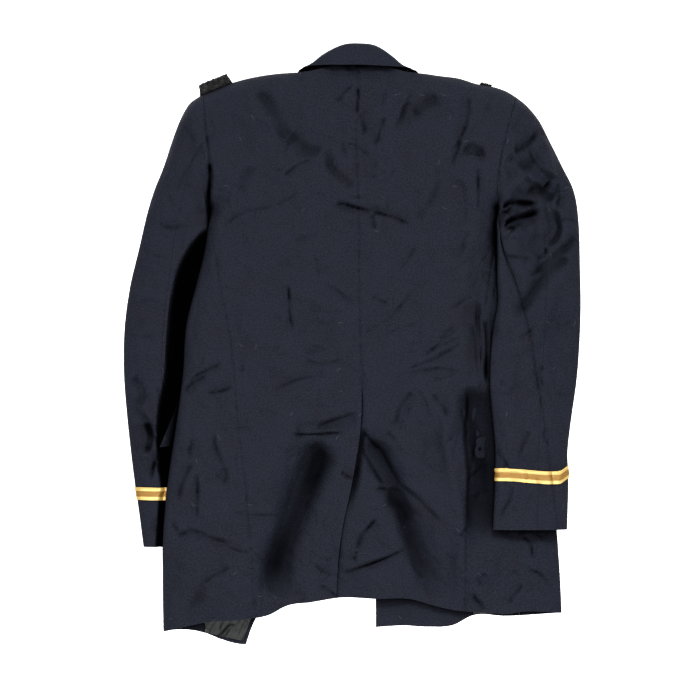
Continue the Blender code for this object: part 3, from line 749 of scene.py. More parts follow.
def scattered(seed, count, low, high, lengths, widths, depths):
    """A table of short creases at random places, bent and turned at random."""
    dice = np.random.default_rng(seed)
    rows = []
    for _ in range(count):
        middle = low + dice.random(2) * (high - low)
        angle = dice.random() * np.pi
        half = lengths[0] + dice.random() ** 2 * (lengths[1] - lengths[0])
        run = half * np.array((np.cos(angle), np.sin(angle)))
        bend = (dice.random() - 0.5) * 0.5 * np.array((-run[1], run[0]))
        width = widths[0] + dice.random() * (widths[1] - widths[0])
        depth = depths[0] + dice.random() ** 2 * (depths[1] - depths[0])
        rows.append((*(middle - run), *(middle + bend), *(middle + run), width, depth))
    return columns(CREASE_COLUMNS, rows)


def crumple(x, y, seed):
    """The fine unevenness of worn cloth: slow waves, sharp little folds and short creases."""
    slow = 0.55 * waves(x, y, seed, 9, 55, 130)
    mid = 0.16 * waves(x, y, seed + 1, 14, 16, 34)
    bent_x = x + 5 * waves(x, y, seed + 2, 7, 40, 80)
    bent_y = y + 5 * waves(x, y, seed + 3, 7, 40, 80)
    patches = ease(waves(x, y, seed + 4, 6, 70, 150), -0.9, 1.1)
    sharp = -0.42 * np.exp(-np.abs(waves(bent_x, bent_y, seed + 5, 9, 30, 62)) * 5) * patches
    return slow + mid + sharp


SCATTERED_BODY = scattered(
    SEED, 300, np.array((-280, -430)), np.array((305, 410)), (4, 22), (1.4, 2.6), (0.15, 0.7)
)
SCATTERED_SLEEVE = scattered(
    SEED + 1, 200, np.array((-345, -300)), np.array((345, 370)), (4, 20), (1.4, 2.6), (0.15, 0.65)
)


def seam_groove(distance, along_it, seed):
    """A pressed-open seam: a fine groove, a low rise over its turnings, and small puckers."""
    distance = np.abs(distance)
    pucker = 0.3 * waves(along_it, along_it * 0, seed, 6, 8, 22) * np.exp(-distance / 7)
    rise = 0.3 * np.exp(-(((distance - 6) / 4) ** 2))
    return pucker + rise - 0.7 * np.exp(-((distance / 1.7) ** 2))


def body_seams(x, y):
    """The grooves of the centre back seam, the side-back seams and the armholes."""
    below = ease(y, UNDERARM_Y - 60, UNDERARM_Y - 75)
    total = seam_groove(x - body("centre", y), y, 11) * ease(y, VENT_TOP_Y - 4, VENT_TOP_Y + 12)
    for side, seed in (("left", 12), ("right", 13)):
        total += seam_groove(x - body(side + "_seam", y), y, seed) * below
        above = ease(y, UNDERARM_Y - 4, UNDERARM_Y + 20)
        total += 1.3 * seam_groove(x - body(side, y), y, seed + 2) * above
    return total


def body_detail(x, y):
    total = BODY_PRESS * pressed(x, y, BODY_CREASES) + FOLD_PRESS * pressed(x, y, BODY_FOLDS)
    total = total + 1.5 * pressed(x, y, SCATTERED_BODY)
    return total + CRUMPLE_DEPTH * crumple(x, y, 20) + body_seams(x, y)


def painted_crease_shade(x, y, table, least, share):
    """A share of painted shade in a table's troughs, full where they are pressed in by least."""
    return share * np.clip(-pressed(x, y, table) / least, 0, 1)


def body_painted_shade(x, y):
    """How much painted shade the back gets, from 0 to 1: painted shadow beside the right sleeve, and
    painted shade in the folds and creases.
    """
    folded = painted_crease_shade(x, y, BODY_FOLDS, 7, FOLD_SHADE)
    creased = painted_crease_shade(x, y, BODY_CREASES, 1.8, CREASE_SHADE)
    return np.maximum(np.maximum(SUNK_SHADE * sunk_share(x, y), folded), creased)


def vent_share(x, y):
    """1 where the backs lap below the vent's top, 0 away from it."""
    gap = x - body("centre", y)
    return ease(y, VENT_TOP_Y + 66, VENT_TOP_Y + 23) * ease(np.abs(gap + VENT_LAP / 2), 74, 38)


def sunk_share(x, y):
    """1 where the back sinks beside the right sleeve, with a sharp side towards the middle."""
    edge = 166 + 2 * np.sin(y / 17) + 4 * ease(y, -170, -250)
    run = ease(y, -52, -92) * ease(y, -300, -235)
    return ease(x, edge - 3, edge + 4) * run


def upper_layer(x, y):
    """Height of the backs, or of the upper part of a side panel."""
    side = np.where(x < body("centre", y), "left", "right")
    gap = np.where(side == "left", side_distance(x, y, "left"), side_distance(x, y, "right"))
    fold = FOLD_RISE + sleeve_lift(x, y)
    edge = rounded(gap, SIDE_ROUND) * rounded(shoulder_distance(x, y), SHOULDER_ROUND)
    lowest = least_height(x, y) + VENT_DROP * vent_share(x, y)
    shoulder = ease(shoulder_distance(x, y), 0, 14)
    height = loft(x, y) + folds(x, y) * ease(gap, 0, 30) - SUNK_DEPTH * sunk_share(x, y)
    height = height + body_detail(x, y) * (0.35 + 0.65 * ease(gap, 0, 12)) * shoulder
    soft = 1.6
    height = lowest + soft * np.logaddexp(0, (height - lowest) / soft)
    fine = 0.3 * pressed(x, y, BODY_CREASES) + 0.25 * waves(x, y, 31, 12, 14, 40)
    settled = np.exp(-np.clip(height - lowest, 0, None) / 4)
    height = height + settled * np.clip(fine, -0.5, 1.2)
    return fold + (height - fold) * edge


# --- grids of the body ------------------------------------------------------------------------


def crowded(count, share=0.6):
    """Shares from 0 to 1 that lie closer together towards both ends."""
    t = np.linspace(0, 1, count + 1)
    return t * (1 - share) + share * (1 - np.cos(np.pi * t)) / 2


def even(length, step):
    """An even number of cells of about this step in a length."""
    return 2 * max(1, round(length / step / 2))


def row_heights(x, hem, rows):
    """The rows of a panel at the places x, bent to its hem and to the shoulder line."""
    low, high = along(hem, "x", "y", x), along(TOP, "x", "y", x)
    down = (HEM_ZONE - rows) / (HEM_ZONE - HEM_ROW)
    up = (rows - SHOULDER_ZONE) / (SHOULDER_ROW - SHOULDER_ZONE)
    y = np.where(rows < HEM_ZONE, HEM_ZONE + (low - HEM_ZONE) * down, rows)
    return np.where(rows > SHOULDER_ZONE, SHOULDER_ZONE + (high - SHOULDER_ZONE) * up, y)


def panel_grid(start, end, shares, hem, rows):
    """Places of a panel between two curves of y, in rows from its hem up."""
    shares, rows = np.meshgrid(shares, rows)
    y = rows.copy()
    for _ in range(4):
        x = start(y) + (end(y) - start(y)) * shares
        y = row_heights(x, hem, rows)
    return x, y


def stack(x, y, z):
    return np.stack((x, y, z), axis=-1)


def body_rows(low, high, step):
    """Rows between two heights, closer together where the cloth turns at its two ends."""
    return low + (high - low) * crowded(even(high - low, step), 0.25)


def wedge_share(x, y):
    """1 in the hollow under the upper back's edge at the top of the vent."""
    beside = np.exp(-(((x - body("centre", y) - 3) / 6) ** 2))
    return beside * ease(y, VENT_TOP_Y, VENT_TOP_Y - 20) * ease(y, -250, -190)


def back_grid(side):
    sign = -1 if side == "left" else 1

    def centre(y):
        lap = VENT_LAP * ease(y, VENT_TOP_Y + 12, VENT_TOP_Y - 12) if side == "right" else 0
        return body("centre", y) + sign * CLOSED - lap

    def seam(y):
        return body(side + "_seam", y) - sign * CLOSED

    rows = body_rows(HEM_ROW, SHOULDER_ROW, CLOTH_STEP)
    x, y = panel_grid(centre, seam, crowded(even(200, CLOTH_STEP), 0.3), HEM, rows)
    z = upper_layer(x, y)
    if side == "right":
        z = z - VENT_DROP * vent_share(x, y) - WEDGE_DEPTH * wedge_share(x, y)
    z[-1] += 2 * SEAM * ease(np.abs(x[-1] - NECK_X), NECK_HALF, NECK_ROUND)
    return stack(x, y, z)


def side_grid(side):
    """From the side-back seam over the side to the seam with the front, on the lower layer."""
    sign = -1 if side == "left" else 1
    rows = body_rows(HEM_ROW, UNDERARM_Y, CLOTH_STEP)
    upper_count, lower_count = even(118, CLOTH_STEP), even(UNDER_SIDE, HIDDEN_STEP)
    inset = (1 - np.linspace(0, 1, upper_count + 1)) ** 1.5
    under = np.linspace(0, 1, lower_count + 1)[1:] ** 1.6
    up_x, up_y = panel_grid(
        lambda y: body(side, y),
        lambda y: body(side + "_seam", y) + sign * CLOSED,
        inset,
        HEM,
        rows,
    )
    down_x, down_y = panel_grid(
        lambda y: body(side, y),
        lambda y: front_seam(side, y) + sign * CLOSED,
        under,
        FRONT_HEM_LEFT if side == "left" else FRONT_HEM_RIGHT,
        rows,
    )
    upper = stack(up_x, up_y, upper_layer(up_x, up_y))
    lower = stack(down_x, down_y, lower_layer(down_x, down_y, side))
    grid = np.concatenate((upper, lower), axis=1)
    grid[-1, :, 1] -= SEAM
    return grid


def front_seam(side, y):
    """The seam between a side panel and a front. It runs out at the underarm."""
    sign = -1 if side == "left" else 1
    reach = UNDER_SIDE * ease(y, UNDERARM_Y, UNDERARM_Y - 130)
    return body(side, y) - sign * (4 * ease(y, UNDERARM_Y + 1, UNDERARM_Y - 20) + 2 + reach)


def front_height(x, y, side):
    """Height of a front, rumpled where it shows below the back."""
    rumple = np.clip(0.5 * waves(x, y, 41, 8, 26, 60) + pressed(x, y, FRONT_FOLDS), 0, 3)
    return lower_layer(x, y, side) + ease(y, -340, -400) * rumple


def front_grid(side):
    sign = -1 if side == "left" else 1
    hem = FRONT_HEM_LEFT if side == "left" else FRONT_HEM_RIGHT

    def outer(y):
        armhole = body(side, y)
        seam = np.where(np.asarray(y) > UNDERARM_Y, armhole, front_seam(side, y))
        return seam - sign * (SEAM / 2 + SEAM * 3 * ease(y, UNDERARM_Y - 50, UNDERARM_Y))

    def edge(y):
        return along(FRONT, "y", side, y)

    fine = body_rows(HEM_ROW, HEM_ROW + 80, 2.4)
    rows = np.concatenate((fine[:-1], body_rows(HEM_ROW + 80, SHOULDER_ROW, HIDDEN_STEP)))
    x, y = panel_grid(outer, edge, crowded(even(230, 3.2), 0.3), hem, rows)
    z = front_height(x, y, side)
    z[-1] -= 2 * SEAM * ease(np.abs(x[-1] - NECK_X), NECK_HALF, NECK_ROUND)
    return stack(x, y, z)


def lapel_grid(side):
    """The turned-out part of a front, lying on the surface under it."""
    sign = -1 if side == "left" else 1
    rows = np.linspace(136 if side == "left" else 204, 308, 49)
    shares, rows = np.meshgrid(crowded(24, 0.3), rows)
    roll = along(FRONT, "y", side, rows)
    x = roll + sign * along(TURNED, "y", "width", rows) * shares
    y = rows + shares * 8 * ease(rows, 260, 308)
    return stack(x, y, np.full_like(x, CLOTH / 2))


# --- sleeves ----------------------------------------------------------------------------------


def braid_sag(x, ring):
    """How far the right cuff's braid and the cloth under it sag from a straight line."""
    low = ease(x, 212, 300) * ease(x, 319, 302)
    return -8.5 * low * ease(ring, 10.5, 12.6) * ease(ring, 15, 14)


def armhole_places(side, shares):
    """The places on an armhole from the shoulder down."""
    sign = -1 if side == "left" else 1
    top = 380.0
    for _ in range(6):
        top = float(along(TOP, "x", "y", body(side, top)))
    y = top + (UNDERARM_Y - top) * shares
    apart = SEAM / 2 + 0.2 * CLOTH * ease(y, UNDERARM_Y + 14, UNDERARM_Y)
    return np.stack((body(side, y) + sign * apart, y), axis=-1)


def sleeve_detail(side, places, ring, width_share):
    """Creases and seam of a sleeve's upper layer. Near the armhole it takes on the body's."""
    x, y = places[..., 0], places[..., 1]
    own = SLEEVE_PRESS * pressed(x, y, LEFT_CREASES if side == "left" else RIGHT_CREASES)
    if side == "right":
        own = own + SLEEVE_PRESS * pressed(x, y, RIGHT_RIDGES)
        own = own + 1.1 * waves(x, y, 56, 9, 18, 44) * ease(y, 120, 190) * ease(y, 345, 290)
    own = own + 1.4 * pressed(x, y, SCATTERED_SLEEVE)
    own = own + CRUMPLE_DEPTH * crumple(x, y, 50 if side == "left" else 53)
    seam = (width_share - TUBE_SEAM) * 115
    own = own + 0.2 * seam_groove(seam, y, 58)
    return body_detail(x, y) * ease(ring, 1.6, 0.2) + own * ease(ring, 0, 0.8)


def strip_share(x, ridge, ring):
    """1 on the strip of the left sleeve that is pressed flat under the body, 0 off it."""
    return ease(x, ridge - 3.5, ridge + 2.5) * ease(ring, 1.5, 3)


def sleeve_layers(side, places, outer, inner, ring, width_share):
    """Heights of the lower and upper layers of a sleeve."""
    table = SLEEVES[side]
    x, y = places[..., 0], places[..., 1]
    to_outer = np.hypot(x - outer[..., 0], y - outer[..., 1])
    to_inner = np.hypot(x - inner[..., 0], y - inner[..., 1])
    base = CLOTH / 2 + (BRAID_WALL + SEAM) * ease(ring, 9, 12)
    if side == "right":
        on_body = 0.35 * loft(x, y) + 0.65 * upper_layer(x, y)
        on_body = (on_body + CLOTH + LAYER) * ease(y, 200, 170)
        base = base + on_body * ease(x - body("right", y), 62, 4)
    fold = base - CLOTH / 2 + FOLD_RISE
    away = ease(ring, 0, 5)
    raised = base - CLOTH / 2 + along(table, "ring", "loft", ring)
    height = loft(x, y) * (1 - away) + raised * away
    detail = sleeve_detail(side, places, ring, width_share)
    edge_fade = ease(np.minimum(to_inner, to_outer), 0, 9)
    height = height + detail * (0.25 + 0.75 * edge_fade)
    lowest = base + CLOTH + 0.3
    height = lowest + 1.2 * np.logaddexp(0, (height - lowest) / 1.2)
    if side == "left":
        ridge = along(table, "ring", "ridge_x", ring)
        press = strip_share(x, ridge, ring)
        flat = base + CLOTH + LAYER + 0.25 * waves(x, y, 61, 8, 20, 50)
        height = height * (1 - press) + flat * press
        fold = fold * (1 - press) + (base + (CLOTH + LAYER) / 2) * press
    edge = rounded(to_inner, SIDE_ROUND) * rounded(to_outer, SHOULDER_ROUND)
    upper = fold + (height - fold) * edge
    turn = 1 - rounded(np.minimum(to_inner, to_outer), LOWER_ROUND)
    return base + (fold - base) * turn, upper


def sleeve_rings(side):
    """Ring numbers, evenly spaced down the sleeve and with the braid's two edges among them."""
    table = SLEEVES[side]
    fine = np.linspace(0, len(table["loft"]) - 1, 1201)
    x = (along(table, "ring", "outer_x", fine) + along(table, "ring", "inner_x", fine)) / 2
    y = (along(table, "ring", "outer_y", fine) + along(table, "ring", "inner_y", fine)) / 2
    run = np.concatenate(((0,), np.hypot(np.diff(x), np.diff(y)).cumsum()))
    count = even(run[-1], CLOTH_STEP)
    return np.interp(np.linspace(0, run[-1], count + 1), run, fine)


def sleeve_points(side, rings):
    """A sleeve as rings of points, above from the outer edge in, then below and back."""
    table = SLEEVES[side]
    rings = np.asarray(rings)[:, None]
    outer, inner = (
        np.stack([along(table, "ring", f"{edge}_{axis}", rings) for axis in "xy"], -1)
        for edge in ("outer", "inner")
    )
    layers = []
    for count in (TUBE_ABOVE, TUBE_BELOW):
        shares = crowded(count, 0.75)
        first = armhole_places(side, shares)
        start, stop = armhole_places(side, np.array((0.0, 1.0)))
        near = ease(rings, 1, 0)[..., None]
        straight = outer + (inner - outer) * shares[None, :, None]
        places = straight * (1 - near) + first * near
        if side == "right":
            places[..., 1] += braid_sag(places[..., 0], rings)
        outer_now = outer * (1 - near) + start * near
        inner_now = inner * (1 - near) + stop * near
        width_share = np.broadcast_to(shares, places.shape[:2])
        low, high = sleeve_layers(side, places, outer_now, inner_now, rings, width_share)
        layers.append((places, low, high))
    (above, _, high), (below, low, _) = layers
    upper = np.concatenate((above, high[..., None]), axis=-1)
    lower = np.concatenate((below, low[..., None]), axis=-1)
    return np.concatenate((upper, lower[:, -2:0:-1]), axis=1)


def sleeve_part(tube, first, last):
    """The columns of a tube from a seam to the next one, both drawn in by half a seam."""
    picked = tube[:, np.arange(first, last + 1) % tube.shape[1]].copy()
    for end, beside in ((0, 1), (-1, -2)):
        step = picked[:, beside] - picked[:, end]
        picked[:, end] += step / np.linalg.norm(step, axis=-1, keepdims=True) * CLOSED
    return picked


# --- collar, straps, flaps and lining ---------------------------------------------------------


def collar_points(names, stations):
    table = dict(COLLAR, station=np.arange(len(COLLAR["roll_x"]), dtype=float))
    return np.stack([along(table, "station", name, stations) for name in names.split()], axis=-1)


def fall_grid():
    stations = np.linspace(0, len(COLLAR["roll_x"]) - 1, even(620, 2.2) + 1)
    roll = collar_points("roll_x roll_y roll_z", stations)
    edge = collar_points("edge_x edge_y edge_z", stations)
    shares = crowded(24, 0.4)[:, None, None]
    grid = roll + (edge - roll) * shares
    lift = np.clip(np.minimum(roll[:, 2], edge[:, 2]) - 6, 0, 20) / 20
    grid[..., 2] += COLLAR_BULGE * np.sin(np.pi * shares[..., 0] ** 0.6) * lift
    depth = np.linalg.norm(grid - roll, axis=-1)
    grid[..., 2] -= 4.0 * (1 - rounded(depth, 6.0)) * lift
    to_edge = np.linalg.norm(grid - edge, axis=-1)
    stitched = -0.35 * np.exp(-(((to_edge - 4) / 1.2) ** 2))
    soft = 0.5 * waves(grid[..., 0], grid[..., 1], 71, 9, 26, 70)
    grid[..., 2] += (stitched + soft * ease(to_edge, 0, 8)) * lift
    return grid[::-1]


def stand_grid():
    stations = np.linspace(STAND_FIRST - STAND_BEYOND, STAND_LAST + STAND_BEYOND, even(170, 2.2) + 1)
    roll = collar_points("roll_x roll_y roll_z", stations)
    roll[:, 0] = NECK_X + (roll[:, 0] - NECK_X) * STAND_NARROW
    roll[:, 1] -= 1
    roll[:, 2] -= STAND_IN
    foot = roll.copy()
    foot[:, 1] = along(TOP, "x", "y", foot[:, 0]) - 2.5
    foot[:, 2] = upper_layer(foot[:, 0], foot[:, 1]) - CLOTH - LAYER
    shares = crowded(10, 0.2)[:, None, None]
    return roll + (foot - roll) * shares


def flat_patch(corners, across, up):
    """A grid between four corners, in order round the patch from its lower left."""
    a, b, c, d = (np.array(corner, float) for corner in corners)
    s = crowded(across, 0.3)[None, :, None]
    t = crowded(up, 0.3)[:, None, None]
    return (a * (1 - s) + b * s) * (1 - t) + (d * (1 - s) + c * s) * t


def flap_grid(side):
    """A pocket flap under a front. The left one stands out past the body's side."""
    if side == "left":
        grid = flat_patch(
            ((-282, -150, 0), (-128, -130, 0), (-120, -72, 0), (-252, -78, 0)), 72, 36
        )
        x, y = grid[..., 0], grid[..., 1]
        out = body("left", y) - x
        grid[..., 2] = CLOTH / 2 + 5.7 * ease(x, -172, -197) + 9.5 * ease(out, -3, 16)
        return grid
    grid = flat_patch(((96, -138, 0), (236, -148, 0), (230, -90, 0), (92, -76, 0)), 24, 12)
    grid[..., 2] = CLOTH / 2
    return grid


def strap_grid(side):
    """A fastener pad that stands out over the shoulder line."""
    if side == "left":
        return flat_patch(
            ((-222, 361, 5), (-172, 379, 5), (-184, 397, 14), (-224, 381, 12)), 90, 44
        )
    return flat_patch(((187, 378, 5), (204, 374.6, 5), (205, 381.2, 8.5), (189, 385, 8.5)), 36, 16)


def lining_grid(side):
    """The satin lining, laid on the inside of a front at the hem."""
    if side == "left":
        grid = flat_patch(
            ((-214, -423, 0), (-160, -435, 0), (-147, -398, 0), (-222, -376, 0)), 48, 36
        )
    else:
        grid = flat_patch(
            ((178, -395, 0), (238, -394, 0), (238, -372, 0), (178, -372, 0)), 36, 16
        )
    x, y = grid[..., 0], grid[..., 1]
    grid[..., 2] = front_height(x, y, side) + CLOTH / 2 + SEAM + LINING_WALL / 2
    grid[..., 2] += np.clip(0.35 * waves(x, y, 81, 10, 9, 30), -0.2, 1.0)
    return grid


# --- meshes -----------------------------------------------------------------------------------


def normals(grid, closed=False):
    """The directions square to a grid. On a closed tube they point outwards."""
    if closed:
        grid = np.concatenate((grid[:, -1:], grid, grid[:, :1]), axis=1)
    normal = np.cross(np.gradient(grid, axis=1), np.gradient(grid, axis=0))
    normal /= np.linalg.norm(normal, axis=-1, keepdims=True)
    if not closed:
        return normal
    outward = grid - grid.mean(axis=1, keepdims=True)
    return normal[:, 1:-1] * np.sign((normal * outward).sum())


def laid_flat(grid, closed=False):
    """The cloth's own flat coordinates at each point, its flat size and its area."""
    loop = np.concatenate((grid, grid[:, :1]), axis=1) if closed else grid
    across = np.linalg.norm(np.diff(loop, axis=1), axis=-1)
    run = np.concatenate((np.zeros((len(grid), 1)), across.cumsum(axis=1)), axis=1)
    width = run[:, -1:]
    share = (run / width).mean(axis=0)
    down = np.linalg.norm(np.diff(grid, axis=0), axis=-1).mean(axis=1)
    length = np.concatenate(((0,), down.cumsum()))
    flat = np.stack(np.broadcast_arrays(share * width, length[:, None]), axis=-1)
    first, second = loop[1:, 1:] - loop[:-1, :-1], loop[1:, :-1] - loop[:-1, 1:]
    area = np.linalg.norm(np.cross(first, second), axis=-1).sum() / 2
    size = (float(width.max()), float(length[-1]))
    return flat[:, : grid.shape[1]], size, float(min(area, size[0] * size[1]))


def rim_of(ids, closed):
    """The numbers of the points round the edges of a grid, as loops."""
    if closed:
        return [np.append(ids[0], ids[0, 0]), np.append(ids[-1], ids[-1, 0])]
    loop = (ids[0, :-1], ids[:-1, -1], ids[-1, :0:-1], ids[::-1, 0])
    return [np.concatenate(loop)]


def quads(ids, closed):
    if closed:
        ids = np.concatenate((ids, ids[:, :1]), axis=1)
    return np.stack((ids[:-1, :-1], ids[:-1, 1:], ids[1:, 1:], ids[1:, :-1]), -1).reshape(-1, 4)


def wall(name, grid, thickness, material, normal=None, closed=False, hollow=None):
    """A closed wall round a grid, fine outside and half as fine inside, with rounded edges."""
    normal = normals(grid) if normal is None else normal
    flat, size, area = laid_flat(grid, closed)
    outer = grid + normal * thickness / 2
    inner = grid - normal * thickness / 2
    for end, beside in ((0, 1), (-1, -2)):
        ends = [(slice(None), end, beside)] if not closed else []
        step = grid[beside] - grid[end]
        step *= EDGE_ROUND * thickness / np.linalg.norm(step, axis=-1, keepdims=True)
        outer[end] += step
        inner[end] += step
        for rows, col, near in ends:
            step = grid[rows, near] - grid[rows, col]
            step *= EDGE_ROUND * thickness / np.linalg.norm(step, axis=-1, keepdims=True)
            outer[rows, col] += step
            inner[rows, col] += step
    inner = inner[::2, ::2]
    fine = np.arange(grid[..., 0].size).reshape(grid.shape[:2])
    coarse = fine.size + np.arange(inner[..., 0].size).reshape(inner.shape[:2])
    points = [outer.reshape(-1, 3), inner.reshape(-1, 3)]
    cloth = [flat.reshape(-1, 2), flat[::2, ::2].reshape(-1, 2)]
    faces = quads(fine, closed).tolist() + quads(coarse, closed)[:, ::-1].tolist()
    count = fine.size + coarse.size
    for fine_rim, coarse_rim in zip(rim_of(fine, closed), rim_of(coarse, closed)):
        around = fine_rim[:-1]
        points.append(grid.reshape(-1, 3)[around])
        cloth.append(flat.reshape(-1, 2)[around])
        middle = np.append(count + np.arange(len(around)), count)
        count += len(around)
        for i in range(len(around)):
            faces.append((fine_rim[i], fine_rim[i + 1], middle[i + 1], middle[i]))
        for i in range(len(coarse_rim) - 1):
            a = middle[2 * i : 2 * i + 3]
            faces.append((a[0], a[1], a[2], coarse_rim[i + 1], coarse_rim[i]))
    made = mesh_object(name, np.concatenate(points), faces, material)
    layer = made.data.uv_layers.new(name="cloth")
    corners = np.empty(len(made.data.loops), dtype=np.int32)
    made.data.loops.foreach_get("vertex_index", corners)
    layer.data.foreach_set("uv", (np.concatenate(cloth)[corners] * MM).ravel())
    # the painted shade of each point, kept as the hollow attribute that the wool darkens its colour
    # by
    if hollow is not None:
        depth = np.zeros(len(made.data.vertices))
        depth[: fine.size] = hollow.ravel()
        depth[fine.size : fine.size + coarse.size] = hollow[::2, ::2].ravel()
        kept = made.data.attributes.new("hollow", "FLOAT", "POINT")
        kept.data.foreach_set("value", depth)
    return made, (size[0] * MM, size[1] * MM), area * MM * MM


def mesh_object(name, points, faces, material):
    mesh = bpy.data.meshes.new(name)
    mesh.from_pydata((np.asarray(points) * MM).tolist(), [], faces)
    mesh.materials.append(material)
    made = bpy.data.objects.new(name, mesh)
    bpy.context.scene.collection.objects.link(made)
    turned = bmesh.new()
    turned.from_mesh(mesh)
    bmesh.ops.recalc_face_normals(turned, faces=turned.faces)
    for edge in turned.edges:
        edge.smooth = edge.calc_face_angle(0) < SHARP_ANGLE
    turned.to_mesh(mesh)
    turned.free()
    mesh.shade_smooth()
    return made


# --- materials --------------------------------------------------------------------------------


def linear(code):
    """A hex colour as linear red, green, blue and alpha."""
    values = np.array([int(code[i : i + 2], 16) for i in (1, 3, 5)]) / 255
    values = np.where(values <= 0.04045, values / 12.92, ((values + 0.055) / 1.055) ** 2.4)
    return (*values.tolist(), 1.0)


def feed(tree, node, sockets):
    """Links or sets a node's inputs."""
    for name, value in dict(sockets).items():
        if isinstance(value, bpy.types.NodeSocket):
            tree.links.new(value, node.inputs[name])
        else:
            node.inputs[name].default_value = value


def add(tree, kind, sockets=(), **settings):
    """A node with its settings and with its inputs linked or set."""
    made = tree.nodes.new(kind)
    for name, value in settings.items():
        setattr(made, name, value)
    feed(tree, made, sockets)
    return made


def mixed(tree, factor, low, high):
    """A colour between two others."""
    sockets = {"Factor": factor, "A": low, "B": high}
    return add(tree, "ShaderNodeMix", sockets, data_type="RGBA").outputs["Result"]


def span(tree, value, low=0.0, high=1.0, to_low=0.0, to_high=1.0):
    """A value from between low and high, moved to between two others."""
    ends = {"From Min": low, "From Max": high, "To Min": to_low, "To Max": to_high}
    return add(tree, "ShaderNodeMapRange", {"Value": value, **ends}).outputs["Result"]


def worked(tree, operation, *values):
    """The result of a sum on up to three values."""
    sockets = dict(enumerate(values))
    return add(tree, "ShaderNodeMath", sockets, operation=operation).outputs["Value"]


def noise(tree, at, scale, detail, roughness=0.5):
    sockets = {"Vector": at, "Scale": scale, "Detail": detail, "Roughness": roughness}
    return add(tree, "ShaderNodeTexNoise", sockets).outputs["Fac"]


def lines(tree, at, scale, sockets=(), **settings):
    """Soft parallel lines, straight or slanting."""
    sockets = {"Vector": at, "Scale": scale, **dict(sockets)}
    return add(tree, "ShaderNodeTexWave", sockets, **settings).outputs["Fac"]


def relief(tree, shader, *layers):
    """Bump from layers, each with its height, its strength and its depth in metres."""
    normal = {}
    for height, strength, depth in layers:
        sockets = {"Height": height, "Strength": strength, "Distance": depth, **normal}
        normal = {"Normal": add(tree, "ShaderNodeBump", sockets).outputs["Normal"]}
    feed(tree, shader, normal)


def shader_of(name):
    made = bpy.data.materials.new(name)
    made.use_nodes = True
    return made, made.node_tree, made.node_tree.nodes["Principled BSDF"]


def own_place(tree):
    return add(tree, "ShaderNodeTexCoord").outputs["Object"]


def cloth_place(tree):
    """The place on the cloth laid flat, in metres across and down."""
    return add(tree, "ShaderNodeUVMap", uv_map="cloth").outputs["UV"]


def worsted(name):
    """Navy worsted wool, a dull twill. It gives a deep blue-black with a faint mottle, a soft bloom
    at glancing angles, and pale specks and short hairs of lint. In folds, creases and gaps between
    pieces its colour, gloss and bloom are darkened: painted shade."""
    made, tree, shader = shader_of(name)
    place, weave = own_place(tree), cloth_place(tree)
    cloud = noise(tree, place, 30.0, 4.0)
    grain = noise(tree, weave, 420.0, 2.0)
    # the twill's lines are 0.5 mm apart in the cloth, and are drawn 1.7 mm apart to show
    wander = {"Distortion": 1.2, "Detail": 2.0, "Detail Scale": 2.0}
    twill = lines(tree, weave, 261.0, wander, bands_direction="DIAGONAL")
    base = mixed(tree, cloud, linear(WOOL_DARK), linear(WOOL_PALE))
    grain_tone = span(tree, grain, 0.3, 0.7, 0.7, 1.3)
    tone = worked(tree, "MULTIPLY", grain_tone, span(tree, twill, to_low=0.9, to_high=1.1))
    toned = add(tree, "ShaderNodeVectorMath", {0: base, "Scale": tone}, operation="SCALE")
    linty = mixed(tree, lint_mask(tree, place), toned.outputs["Vector"], linear(LINT))
    # painted shade: this share mixes the colour towards near-black and damps gloss and bloom
    unshaded_share = painted_shading(tree)
    look = {
        "Base Color": mixed(tree, unshaded_share, linear(WOOL_PAINTED_SHADE), linty),
        "Specular IOR Level": worked(tree, "MULTIPLY", unshaded_share, 0.2),
        "Sheen Weight": worked(tree, "MULTIPLY", unshaded_share, 0.06),
        "Sheen Roughness": 0.45,
        "Sheen Tint": linear("#AEB4CC"),
        "Roughness": 0.78,
    }
    feed(tree, shader, look)
    rough = noise(tree, place, 140.0, 5.0, 0.6)
    relief(tree, shader, (rough, 0.6, 0.003), (twill, 0.35, 0.0003), (grain, 0.5, 0.0006))
    return made


def painted_shading(tree):
    """1 in the open, towards 0 inside folds, creases and gaps between pieces: painted shade, from
    ambient occlusion and from the hollow attribute, by which the wool's colour, gloss and bloom are
    darkened.
    """
    # painted shade: ambient occlusion within 5 cm darkens the colour
    near = add(tree, "ShaderNodeAmbientOcclusion", {"Distance": 0.05}, samples=8)
    deep = add(tree, "ShaderNodeAttribute", attribute_name="hollow").outputs["Fac"]
    attribute_unshaded = span(tree, deep, to_low=1.0, to_high=0.0)
    return worked(tree, "MULTIPLY", span(tree, near.outputs["AO"], 0.42, 0.96), attribute_unshaded)


